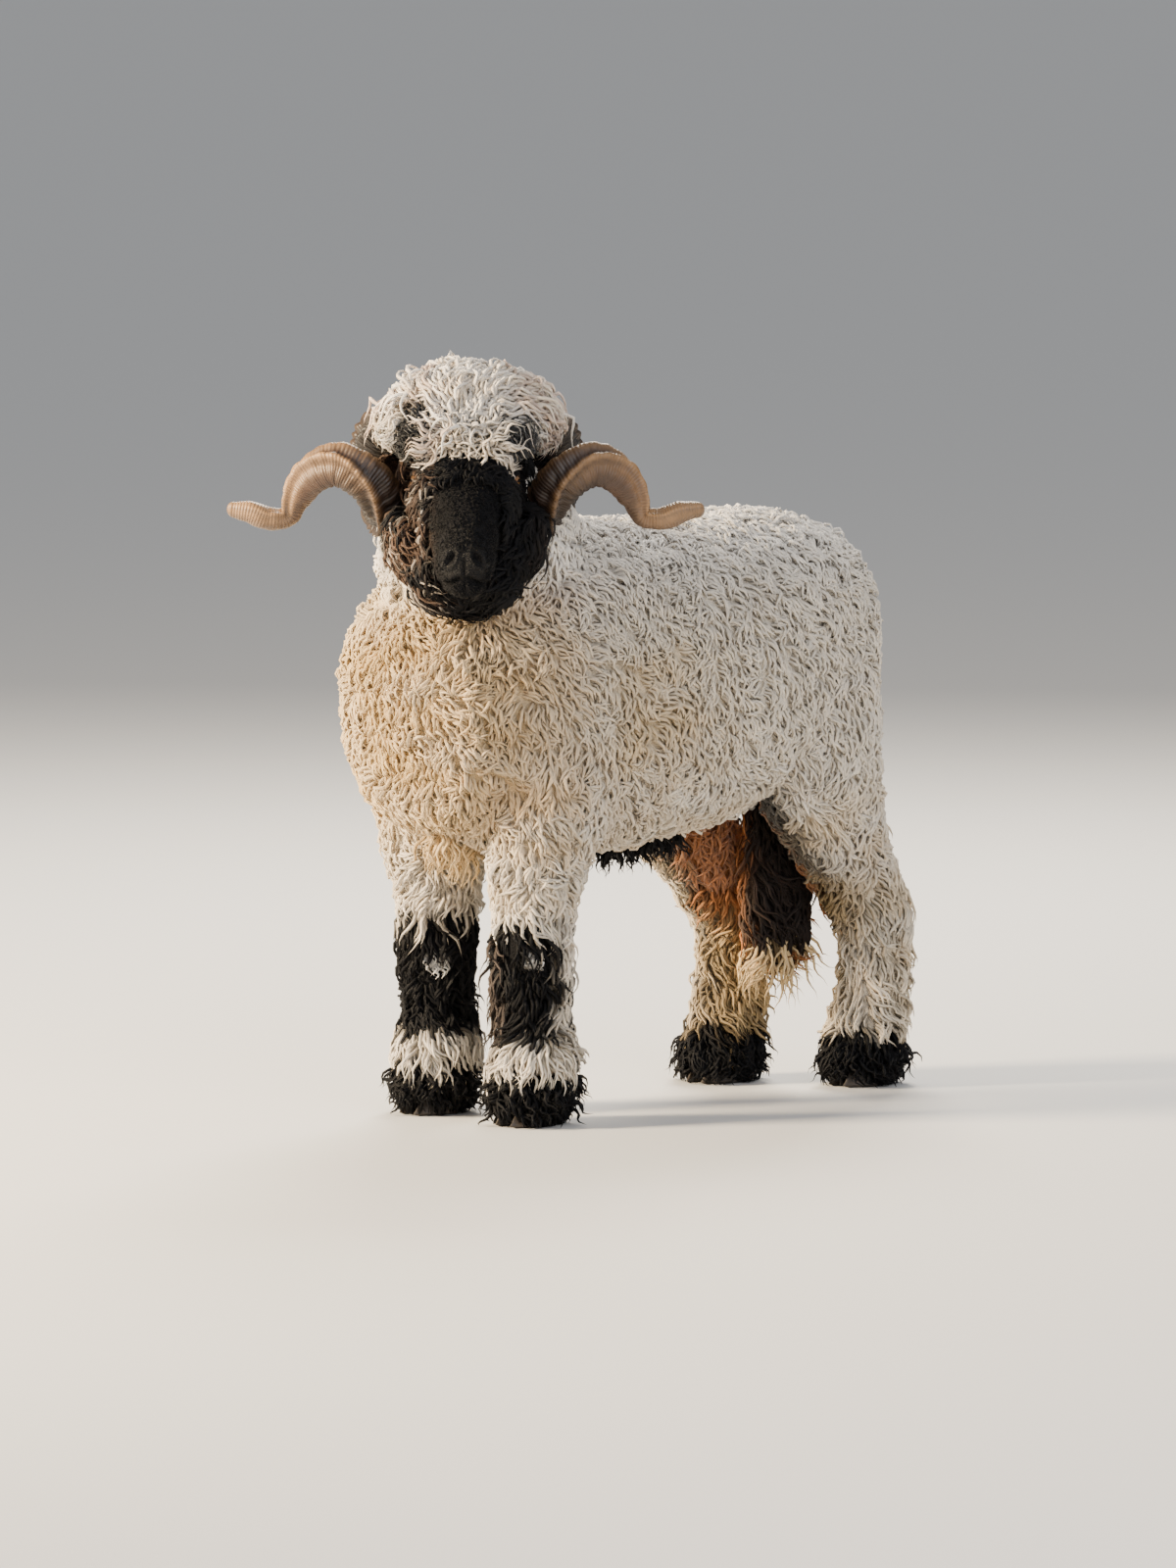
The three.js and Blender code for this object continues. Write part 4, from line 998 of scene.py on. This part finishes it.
nearSpot = np.minimum(spotGap(bodyRoots, "leftSpot"), spotGap(bodyRoots, "rightSpot"))
bodyScale = 1 - 0.6 * smooth(0.030, 0.018, nearSpot)
for coatName, here, look, slotName in coats:
    hues = purseColour(bodyRoots[here]) if coatName == "wool_scrotum" else bodyHues[here]
    growCoat(coatName, bodyRoots[here], bodyOuts[here], bodyLies[here], hues, bodyMap[here],
             look, bodyScale[here])

# Locks that hang free: the middle and radii of the patch they grow on, their reach, how far
# they flare out, and their colour
hanging = {
    "sheath_locks": ((0.0, 0.27, 0.350), (0.05, 0.07, 0.05), (0.030, 0.056), 0.25, "black"),
    "brisket_locks": ((0.004, -0.06, 0.385), (0.03, 0.04, 0.04), (0.036, 0.066), 0.25, "gold"),
    "purse_locks": ((0.006, 0.53, 0.180), (0.06, 0.08, 0.035), (0.050, 0.095), 0.25, "gold"),
    "knee_locks": ((0.054, -0.03, 0.20), (0.022, 0.04, 0.06), (0.046, 0.080), 0.25, "smoke"),
    "foot_wisps": ((0.0, 0.28, 0.048), (0.30, 0.60, 0.028), (0.024, 0.046), 0.75, "black"),
}
mostLocks = 600  # in one such patch
hangingLook = dict(kneeLook, rise=0.010, waves=1.6, curve=0.5, swirl=0.4, rings=9)
for lockName, (middle, radii, reach, flare, hue) in hanging.items():
    here = np.linalg.norm((local - np.array(middle)) / np.array(radii), axis=1) < 1
    here = rng.permutation(np.flatnonzero(here))[:mostLocks]
    away = unit(bodyOuts[here] * np.array([1, 1, 0]) + 0.3 * rng.normal(0, 1, (len(here), 3)))
    hang = unit(np.array([0, 0.1, -1.0]) + flare * away)
    finish, slotName = (fleeceMaterial, "fleece") if hue == "gold" else (darkMaterial, "dark_wool")
    growCoat(lockName, bodyRoots[here], away, hang, allOf(hue, len(here)), bodyMap[here],
             dict(hangingLook, reach=reach, material=finish))


def eyeGap(places):
    # How far each place is from the nearer eye, and the way out from it; places above the eye
    # count as nearer, because wool hangs down
    offs = np.array([places - centre - out * 0.010 for centre, out in eyes.values()])
    offs[..., 2] *= np.where(offs[..., 2] > 0, 0.6, 1.2)
    away = np.linalg.norm(offs, axis=-1)
    nearer = (away[0] > away[1]).astype(int)
    return away.min(axis=0), unit(offs[nearer, np.arange(len(places))])


def glintedCurls(hues, places):
    # Painted glints: a few of the curls on the right cheek are paled towards grey cream, where the
    # sun catches them
    side = inHeadFrame(places)[0]
    glinting = rng.uniform(0, 1, len(places)) < 0.14 * smooth(0.026, 0.04, -side)
    return blend(hues, wool["shade"], glinting * rng.uniform(0.1, 0.5, len(places)))


# Topknot: wavy locks that spread from a whorl over the brow to the sides and the nape, shorter
# towards the brow and the ears
crownLook = dict(fleeceLook, reach=(0.040, 0.070), rise=0.030, root=0.006, wide=0.0031,
                 thick=0.0023, waves=1.3, sway=0.0052, rings=10, clump=11, swirl=0.42, stray=0.24,
                 gather=0.6, crest=0.38, fall=0.25, droop=0.004, stand=1.0, curve=7.5)
crownRoots, crownOuts = rootsOn(crownPlaces, crownQuads, 1.0)
crownSide, crownFront, crownHigh = inHeadFrame(crownRoots)
keep = crownHigh > 0.034 - 0.012 * (crownFront < 0)
keep &= (cheekForm.locate(crownRoots)[2] > 0.9) & (headForm.locate(crownRoots)[2] > 1.0)
crownRoots, crownOuts = crownRoots[keep], crownOuts[keep]
crownSide, crownFront, crownHigh = inHeadFrame(crownRoots)
fromWhorl = crownRoots - headPoint(0, whorl["front"], whorl["high"])
gap = np.linalg.norm(fromWhorl, axis=1)
crownWay = unit(fromWhorl) + 0.3 * wander(crownRoots, 0.05, (32, 33, 34))
crownWay += rng.normal(0, 1, crownWay.shape) * (0.15 + 1.2 * smooth(0.040, 0.012, gap))[:, None]
crownWay[:, 2] -= 0.4 * smooth(0.05, 0.11, np.abs(crownSide)) + 0.10
shortBelow = 0.040 * smooth(0.03, 0.08, np.abs(crownSide))
overBrow = crownHigh - shortBelow + 0.3 * np.maximum(0.05 - crownFront, 0)
crownScale = 0.42 + 0.58 * smooth(0, 0.075, overBrow)
crownScale *= 1 - 0.35 * smooth(0.035, 0.012, gap)
crownHues, streak = crownColour(crownRoots)
crownScale *= 1 - 0.35 * streak
crownLies = liesFrom(crownOuts, crownWay)
crownMap = unwrapped(topForm.locate(crownRoots))
for sideName, here in (("left", crownSide >= 0), ("right", crownSide < 0)):
    growCoat(f"topknot_locks_{sideName}", crownRoots[here], crownOuts[here], crownLies[here],
             crownHues[here], crownMap[here], crownLook, crownScale[here])

# Cheeks and beard: longer dark curls that hang outward and down round the face
beardLook = dict(kneeLook, reach=(0.036, 0.062), rise=0.026, root=0.006, wide=0.0033,
                 thick=0.0024, waves=1.2, sway=0.0046, rings=8, clump=9, swirl=0.45, stray=0.25,
                 gather=0.5, crest=0.42, fall=0.3, droop=0.004, stand=0.7, curve=5.0)
beardRoots, beardOuts = rootsOn(cheekPlaces, cheekQuads, 0.85)
keep = np.all([form.locate(beardRoots)[2] > limit
               for form, limit in ((neckForm, 0.8), (topForm, 0.6), (headForm, 1.0))], axis=0)
keep &= eyeGap(beardRoots)[0] > 0.036
beardRoots, beardOuts = beardRoots[keep], beardOuts[keep]
eyeAway, eyeWay = eyeGap(beardRoots)
beardWay = np.array([0, 0, -0.9]) + 0.35 * faceFront + 0.3 * beardOuts
beardWay = beardWay + 0.25 * rng.normal(0, 1, beardWay.shape)
beardWay = beardWay + 3.0 * eyeWay * smooth(0.066, 0.040, eyeAway)[:, None]
# The beard's curls get painted glints on the right cheek
growCoat("beard_curls", beardRoots, beardOuts, liesFrom(beardOuts, beardWay),
         glintedCurls(faceColour(beardRoots), beardRoots), unwrapped(cheekForm.locate(beardRoots)),
         beardLook)

# Face: small dark curls over the skin, shorter towards the bare nose and clear of the eyes
faceLook = dict(kneeLook, reach=(0.015, 0.026), rise=0.0085, root=0.002, wide=0.0026,
                thick=0.0018, waves=0.9, sway=0.0026, rings=6, clump=7, swirl=0.5, stray=0.3,
                gather=0.45, crest=0.45, fall=0.5, stand=0.3)
muzzleLook = dict(faceLook, reach=(0.006, 0.011), rise=0.0024, root=0.001, wide=0.0016,
                  thick=0.0010, sway=0.0006, rings=4)
faceRoots, faceOuts = rootsOn(headPlaces, headQuads, 0.42)
faceSide, faceFore, faceHigh = inHeadFrame(faceRoots)
faceFlip = np.tanh((faceSide + 0.010 * ripple(faceRoots, 0.03, 36)) / 0.022)
faceWay = -0.5 * faceFront - 0.6 * up + 0.8 * faceFlip[:, None] * faceLeft
faceWay = faceWay + 0.3 * rng.normal(0, 1, faceWay.shape)
eyeAway, eyeWay = eyeGap(faceRoots)
faceWay = faceWay + 3.0 * eyeWay * smooth(0.044, 0.026, eyeAway)[:, None]
faceLies = liesFrom(faceOuts, faceWay)
faceMap = unwrapped(headForm.locate(faceRoots))
bareNose = (faceFore > 0.172) & (faceHigh < -0.080) & (np.abs(faceSide) < 0.026)
muzzle = (faceFore > 0.115) & ~bareNose
brow = (faceFore > 0.0) & (faceFore <= 0.115) & (eyeAway > 0.019)
brow &= np.minimum(cheekForm.locate(faceRoots)[2], topForm.locate(faceRoots)[2] + 0.3) > 0.5
for coatName, here, look in (("face_curls", brow, faceLook), ("muzzle_hair", muzzle, muzzleLook)):
    taper = smooth(0.175, 0.06, faceFore[here]) * 0.6 + 0.6
    taper = taper * (1 + 0.9 * smooth(0.026, 0.055, np.abs(faceSide[here])))
    taper = taper * (1 - 0.55 * smooth(0.045, 0.024, eyeAway[here]))
    hues = faceColour(faceRoots[here])
    # The face curls get painted glints on the right cheek too
    if coatName == "face_curls":
        hues = glintedCurls(hues, faceRoots[here])
    growCoat(coatName, faceRoots[here], faceOuts[here], faceLies[here], hues, faceMap[here],
             look, taper)
print("coat:", sum(coatTotal), "triangles")

# Horns: a flattened band whose keel winds over it, carried without spin along its coil and
# then twisted, with coarse growth ribs that fade towards the tip. Each row of the coil is a
# place in the head's directions, the left side plus, and the half width and half height there.
hornSize = {"rows": 420, "sides": 44, "twist": 1.2, "ribGap": 0.0145, "ribDepth": 0.0032,
            "square": 1.9, "ends": (0.008, 0.009), "keelRoot": 2.7, "keelWinds": 2.2,
            "keelHigh": 0.24, "keelWide": 0.15, "tipGrow": 0.40, "dents": 0.0006}
hornRows = [
    [0.048, -0.006, 0.046, 0.030, 0.024],
    [0.088, -0.036, 0.066, 0.031, 0.024],
    [0.116, -0.078, 0.050, 0.030, 0.023],
    [0.124, -0.108, 0.004, 0.029, 0.022],
    [0.112, -0.100, -0.042, 0.029, 0.021],
    [0.098, -0.046, -0.054, 0.030, 0.020],
    [0.102, 0.010, -0.036, 0.030, 0.019],
    [0.128, 0.040, 0.002, 0.030, 0.018],
    [0.166, 0.036, 0.020, 0.029, 0.016],
    [0.200, 0.020, 0.004, 0.026, 0.014],
    [0.219, 0.008, -0.026, 0.019, 0.012],
    [0.230, 0.004, -0.050, 0.013, 0.011],
    [0.252, 0.006, -0.052, 0.012, 0.011],
    [0.280, 0.006, -0.043, 0.011, 0.010],
    [0.300, 0.004, -0.040, 0.008, 0.007],
]


def carriedAcross(form, key, want, twist):
    # Directions across a coil: each is the last one laid square to the next tangent, turned as a
    # whole so that the one at share key faces want, then rolled by the twist
    total, steps = form.knots[-1], 240
    at = np.linspace(0, total, steps + 1)
    line = alongCurve(form.table, form.knots, at)[:, :3]
    tangent = unit(np.gradient(line, axis=0))
    carried = [unit(np.cross(tangent[0], [0.3, 0.2, 1.0]))]
    for step in tangent[1:]:
        carried.append(unit(carried[-1] - step * (carried[-1] @ step)))
    carried = np.array(carried)
    other = np.cross(tangent, carried)
    mark = int(key * steps)
    start = np.arctan2(want @ other[mark], want @ carried[mark])
    angle = (start + twist(at / total))[:, None]
    return carried * np.cos(angle) + other * np.sin(angle)


def bellAt(angle, middle, width):
    # A bell round an angle, the short way round
    away = np.angle(np.exp(1j * (angle - middle)))
    return np.exp(-(away / width) ** 2)


def hornPiece(name, side, material):
    # Round the band at share s each place moves off the centre line by its distance from it
    # times grow: bells for the two lips and for the keel, whose angle winds back as s rises and
    # which has a hollow on each side, and ribs of cos(2 pi cycle) that fade towards the tip
    rows = headRows([[side * row[0], *row[1:]] for row in hornRows])
    form = Form(rows, up, hornSize["ends"], hornSize["square"])

    def roll(part):
        return side * smooth(0.76, 0.92, part) * hornSize["twist"]

    form.across = carriedAcross(form, 0.66, up, roll)
    facing = np.sign(form.rings(0.6)[2][0] @ faceFront)
    count, sides = hornSize["rows"], hornSize["sides"]
    s = np.repeat(np.linspace(0.004, 0.996, count), sides)
    angle = np.tile(np.arange(sides) / sides * 2 * np.pi, count)
    places, centre = form.at(s, angle), form.rings(s)[0]
    turned = angle * facing
    lip = 0.05 * (bellAt(turned, 0, 0.18) + bellAt(turned, np.pi, 0.18))
    keelAt = hornSize["keelRoot"] - hornSize["keelWinds"] * smooth(0.42, 0.86, s)
    keel = hornSize["keelHigh"] * bellAt(turned, keelAt, hornSize["keelWide"])
    keel = keel - 0.20 * bellAt(turned, keelAt + 0.5, 0.3)
    keel -= 0.16 * bellAt(turned, keelAt - 0.5, 0.3)
    keel += 0.08 * bellAt(turned, -keelAt, 0.2) - 0.12 * bellAt(turned, -keelAt - 0.5, 0.3)
    keel *= smooth(0.98, 0.86, s)
    cycle = s * form.long / hornSize["ribGap"] + 0.5 * ripple(places, 0.06, 41)
    cycle = cycle + 0.3 * np.sin(turned)
    ridge = 0.5 + 0.5 * np.cos(2 * np.pi * cycle)
    fade = smooth(0.86, 0.40, s)
    rib = hornSize["ribDepth"] * (0.12 + 0.88 * fade) * (ridge ** 0.7 - 1)
    dents = hornSize["dents"] * ripple(places, 0.02, 42)
    length = np.maximum(np.linalg.norm(places - centre, axis=1), 1e-3)
    grow = 0.97 + hornSize["tipGrow"] * smooth(0.84, 0.93, s) + lip + keel + (rib + dents) / length
    places = centre + (places - centre) * grow[:, None]
    ends = form.rings(np.array([0.0, 1.0]))[0]
    grid = places.reshape(count, sides, 3)
    piece = makePiece(f"{name}_sheath", *closedGrid(grid, ends), material)
    # The edge value pales the keel and the outer edge, partly as painted highlight; the groove
    # value darkens the rib grooves as painted shade
    edge = np.maximum(0.7 * bellAt(turned, 0, 0.5), bellAt(turned, keelAt, 0.17))
    edge = np.maximum(edge, 0.45 * bellAt(turned, keelAt + 0.6, 0.4) * smooth(0.55, 0.70, s))
    giveValues(piece, along=np.append(s, [0, 1]), groove=np.append((1 - ridge) * fade, [0, 0]),
               edge=np.append(edge, [0.5, 0.5]))
    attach(piece, "root")
    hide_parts(name)


# Colours of the horn: a run from root to tip, the colour of its pale edges, partly painted
# highlight, and the painted shade of its grooves.
# It pales from ripeFrom to ripeTo, and fine growth lines are waves along the whole of it.
hornTint = {
    "run": [(0.36, (0.011, 0.007, 0.005, 1)), (0.66, (0.020, 0.011, 0.008, 1)),
            (0.80, (0.058, 0.031, 0.019, 1)), (0.95, (0.15, 0.094, 0.056, 1))],
    "pale": (0.33, 0.185, 0.080, 1),
    "groove": (0.42, 0.34, 0.32, 1),
    "ripeFrom": 0.52, "ripeTo": 0.76, "cloud": 22.0, "lines": 1050.0, "lineDepth": 0.0008,
}


def hornMaterial():
    # Dark brown at the root and light brown to the tip; paler on the keel and the outer edge,
    # partly their own paler horn and partly painted highlight; darker in the grooves as painted
    # shade, with fine growth lines across and a cloudy stain
    material, tree, shader = newMaterial("ribbedHorn", Specular_IOR_Level=0.45)
    along, groove, edge = (vertexValue(tree, name) for name in ("along", "groove", "edge"))
    ripe = mapped(tree, along, From_Min=hornTint["ripeFrom"], From_Max=hornTint["ripeTo"],
                  To_Min=0.13, To_Max=0.95)
    # Pale keel and outer edge: partly the horn's own paler rim, partly painted highlight
    pale = mixed(tree, "MIX", Factor=maths(tree, "MULTIPLY", edge, ripe),
                 A=ramped(tree, along, hornTint["run"]), B=hornTint["pale"])
    # Painted shade in the rib grooves: darker and mauve where the groove is deep
    sunk = mapped(tree, groove, From_Min=0.2, From_Max=1.0, To_Max=0.8)
    dark = mixed(tree, "MULTIPLY", Factor=sunk, A=pale, B=hornTint["groove"])
    cloud = noise(tree, objectPlace(tree), hornTint["cloud"], 6.0, Roughness=0.7)
    haze = mixed(tree, "OVERLAY", Factor=0.85, A=dark, B=cloud)
    rough = mapped(tree, cloud, To_Min=0.36, To_Max=0.60)
    wave = maths(tree, "SINE", maths(tree, "MULTIPLY_ADD", along, hornTint["lines"], cloud))
    dent = dented(tree, wave, 0.35, hornTint["lineDepth"])
    feed(shader, Base_Color=haze, Roughness=rough, Normal=dent)
    return material


hornFinish = hornMaterial()
for hornName, hornSign in (("horn_left", 1), ("horn_right", -1)):
    hornPiece(hornName, hornSign, hornFinish)
print("horns made")

# Eyes: a glossy ball, amber with a level dark pupil
eyeTint = {"pupil": (0.006, 0.005, 0.006, 1), "iris": (0.16, 0.075, 0.022, 1),
           "ball": (0.030, 0.018, 0.012, 1)}


def vectorMaths(tree, operation, *numbered):
    return addNode(tree, "ShaderNodeVectorMath", {"operation": operation}, *numbered).outputs


def eyeMaterial(name, centre, out):
    # Off the ball's middle, the pupil is an oval of two widths along and across the slit, and
    # the iris ends where the way out falls to about two thirds of the radius
    material, tree, shader = newMaterial(name, Roughness=0.08, Coat_Weight=0.6)
    off = vectorMaths(tree, "SUBTRACT", objectPlace(tree), centre)[0]
    fore = unit(faceFront - out * (faceFront @ out))
    ways = (fore / eyeSize["pupilWide"], np.cross(out, fore) / eyeSize["pupilTall"],
            out / eyeSize["radius"])
    wide, tall, away = (vectorMaths(tree, "DOT_PRODUCT", off, way)["Value"] for way in ways)
    pair = addNode(tree, "ShaderNodeCombineXYZ", {}, wide, tall).outputs[0]
    pupil = mapped(tree, vectorMaths(tree, "LENGTH", pair)["Value"], From_Min=0.9, From_Max=1.1)
    iris = mixed(tree, "MIX", Factor=pupil, A=eyeTint["pupil"], B=eyeTint["iris"])
    rim = mapped(tree, away, From_Min=0.62, From_Max=0.72)
    feed(shader, Base_Color=mixed(tree, "MIX", Factor=rim, A=eyeTint["ball"], B=iris))
    return material


for eyeName, (centre, out) in eyes.items():
    radius = eyeSize["radius"]
    ball, ballFaces = headBall(centre, (radius, radius, radius), rows=30, sides=40)
    bulge = 1 + 0.07 * smooth(0.72, 0.95, unit(ball - centre) @ out)
    ball = centre + (ball - centre) * bulge[:, None]
    finish = eyeMaterial(f"eye_{eyeName}", centre, out)
    piece = makePiece(f"eye_ball_{eyeName}", ball, ballFaces, finish)
    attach(piece, "root")
    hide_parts(f"eye_{eyeName}")
print("eyes made")

# Ears: a leaf folded into a cup, hanging out and forward from behind the eye
earSize = {"wide": 0.025, "deep": 0.013, "thick": 0.0032, "rows": 40, "sides": 28, "tufts": 420}
earRows = [[0.052, -0.016, 0.012], [0.076, -0.008, 0.012], [0.098, -0.004, 0.004],
           [0.124, 0.000, -0.010]]
earLook = dict(faceLook, reach=(0.014, 0.026), wide=0.0028, thick=0.0018, rise=0.006)


def earPiece(name, side):
    # A leaf carried along its midrib, of half width wide * (0.35 + 0.65 sin(pi u^0.8)^0.7), that
    # closes at the tip and is folded by depth * (1 - v^2) away from its mouth, with a second
    # face one thickness behind the first
    table = np.array([headPoint(side * row[0], row[1], row[2]) for row in earRows])
    knots = np.arange(len(table), dtype=float)
    u = np.linspace(0.02, 0.985, earSize["rows"])
    line = alongCurve(table, knots, u * (len(table) - 1))
    tangent = unit(np.gradient(line, axis=0))
    mouth = unit(faceFront - tangent * (tangent @ faceFront)[:, None])
    across = np.cross(mouth, tangent)
    v = np.linspace(-1, 1, earSize["sides"])
    half = earSize["wide"] * (0.35 + 0.65 * np.sin(np.pi * u ** 0.8) ** 0.7) * smooth(1.02, 0.82, u)
    fold = earSize["deep"] * (0.4 + 0.6 * smooth(1.0, 0.1, u))
    grid = line[:, None] + across[:, None] * (half[:, None] * v)[..., None]
    inner = grid - mouth[:, None] * (fold[:, None] * (1 - v ** 2))[..., None]
    thick = earSize["thick"] * (1 - 0.6 * np.abs(v) ** 3)
    outer = inner - mouth[:, None] * thick[None, :, None]
    ring = np.concatenate([inner, outer[:, ::-1]], axis=1)
    places, faces = closedGrid(ring, line[[0, -1]] - mouth[[0, -1]] * fold[[0, -1]][:, None])
    piece = makePiece(f"{name}_skin", places, faces, skinMaterial)
    giveValues(piece, hue=faceColour(places), along=np.full(len(places), 0.4),
               tone=np.full(len(places), 0.5))
    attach(piece, "root")
    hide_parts(name)
    rows, sides = outer.shape[:2]
    back = outer[2:-1].reshape(-1, 3)
    keep = rng.choice(len(back), earSize["tufts"], replace=True)
    outs = -np.repeat(mouth[2:-1], sides, axis=0)[keep]
    lies = np.repeat(tangent[2:-1], sides, axis=0)[keep]
    flat = np.stack([np.repeat(u[2:-1], sides), np.tile(v, rows - 3)], axis=1)[keep]
    growCoat(f"{name}_wool", back[keep] + rng.normal(0, 0.0008, (len(keep), 3)), outs,
             liesFrom(outs, lies), faceColour(back[keep]), flat, earLook)


for earName, earSign in (("ear_left", 1), ("ear_right", -1)):
    earPiece(earName, earSign)
print("ears made")

# Hooves: two claws a foot, each a rounded wall with a pointed toe and faint growth rings
hoofSize = {"rows": 26, "sides": 40, "rings": 5, "ringDepth": 0.012, "toe": 0.62, "inner": 0.80,
            "toeIn": 0.30, "topIn": 0.14, "topBack": 0.30, "topPush": 0.014, "sole": 0.25}
hoofTint = [(0, (0.020, 0.016, 0.014, 1)), (1, (0.085, 0.066, 0.050, 1))]


def hoofMaterial():
    material, tree, shader = newMaterial("hoofHorn", Roughness=0.5)
    cloud = noise(tree, objectPlace(tree), 60.0, 4.0)
    feed(shader, Base_Color=ramped(tree, cloud, hoofTint))
    return material


def hoofPiece(node, cleftSide, material):
    # The claw's outline at each height: a rounded heel, a bowed outer wall and a pointed toe,
    # drawn in and back as it rises, with a ripple for the growth rings
    lowCorner, highCorner = (np.array(corner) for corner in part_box(node))
    middle, half = (lowCorner + highCorner) / 2, (highCorner - lowCorner) / 2
    count, sides = hoofSize["rows"], hoofSize["sides"]
    rise = np.linspace(0, 1, count)[:, None]
    angle = -(np.arange(sides) / sides * 2 * np.pi)[None]
    across = np.cos(angle)
    along = np.sin(angle)
    toe = smooth(0, 1, -along)
    wall = across * (1 - hoofSize["toe"] * toe ** 1.6)
    wall = np.where(across * cleftSide > 0, wall * hoofSize["inner"], wall)
    wall = wall + cleftSide * hoofSize["toeIn"] * toe
    ring = 1 - hoofSize["ringDepth"] * (0.5 + 0.5 * np.cos(rise * hoofSize["rings"] * 2 * np.pi))
    bead = 1 - hoofSize["sole"] * smooth(0.0, 0.08, 0.08 - rise)
    x = middle[0] + half[0] * wall * (1 - hoofSize["topIn"] * rise) * ring * bead
    y = middle[1] + half[1] * along * (1 - hoofSize["topBack"] * rise) * ring * bead
    y = y + hoofSize["topPush"] * rise
    z = lowCorner[2] + (highCorner[2] - lowCorner[2]) * rise + 0 * angle
    grid = np.stack([x, y, z], axis=-1)
    ends = np.array([grid[0].mean(axis=0), grid[-1].mean(axis=0)])
    piece = makePiece(f"{node}_claw", *closedGrid(grid, ends), material)
    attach(piece, "root")
    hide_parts(node)


hoofFinish = hoofMaterial()
for end in ("front", "hind"):
    for hand, sign in (("left", 1), ("right", -1)):
        for part, cleftSide in (("outer", -sign), ("inner", sign)):
            hoofPiece(f"hoof_{end}_{hand}_{part}", cleftSide, hoofFinish)
print("hooves made")

# Floor, backdrop, light and camera
studio = {"horizon": 320.0, "floor": (0.62, 0.61, 0.59, 1), "sky": (0.82, 0.85, 0.90, 1),
          "strength": 0.5, "exposure": 0.25}
horizon = studio["horizon"]
floorPlaces = np.array([[-1, -1, 0], [1, -1, 0], [1, 1, 0], [-1, 1, 0]]) * horizon
floorFinish = newMaterial("paleFloor", Base_Color=studio["floor"], Roughness=0.9)[0]
floor = makePiece("floor", floorPlaces, np.array([[0, 1, 2, 3]]), floorFinish, False)

world = bpy.data.worlds.new("studio")
world.use_nodes = True
feed(world.node_tree.nodes["Background"], Color=studio["sky"], Strength=studio["strength"])
bpy.context.scene.world = world

lights = {
    "key": {"at": (-2.4, -4.4, 2.3), "size": 1.2, "power": 1150, "colour": (1.0, 0.80, 0.54)},
    "fill": {"at": (5.0, -1.5, 3.0), "size": 4.0, "power": 170, "colour": (0.97, 0.97, 1.0)},
    "rim": {"at": (-2.4, 2.8, 3.9), "size": 2.0, "power": 420, "colour": (1.0, 0.92, 0.80)},
}
aim = np.array([0.0, 0.0, 0.5])
for lightName, light in lights.items():
    lamp = bpy.data.lights.new(lightName, "AREA")
    lamp.size = light["size"]
    lamp.energy = light["power"]
    lamp.color = light["colour"]
    holder = bpy.data.objects.new(lightName, lamp)
    holder.location = light["at"]
    holder.rotation_euler = Vector(aim - np.array(light["at"])).to_track_quat("-Z", "Y").to_euler()
    bpy.context.scene.collection.objects.link(holder)

# The camera's place is off the line of the fore feet; its turn and pitch are in degrees
cameraSize = {"lens": 219.4, "at": (9.071, -8.573, 1.533), "pitch": 85, "turn": 46,
              "sensor": 36, "reach": 900}
camera = bpy.data.objects.new("camera", bpy.data.cameras.new("camera"))
camera.data.sensor_width = cameraSize["sensor"]
camera.data.lens = cameraSize["lens"]
camera.data.clip_end = cameraSize["reach"]
camera.location = np.array(cameraSize["at"]) + shift
camera.rotation_euler = (np.radians(cameraSize["pitch"]), 0, np.radians(cameraSize["turn"]))
bpy.context.scene.collection.objects.link(camera)
bpy.context.scene.camera = camera
bpy.context.scene.view_settings.view_transform = "AgX"
bpy.context.scene.view_settings.exposure = studio["exposure"]
print("stage set")
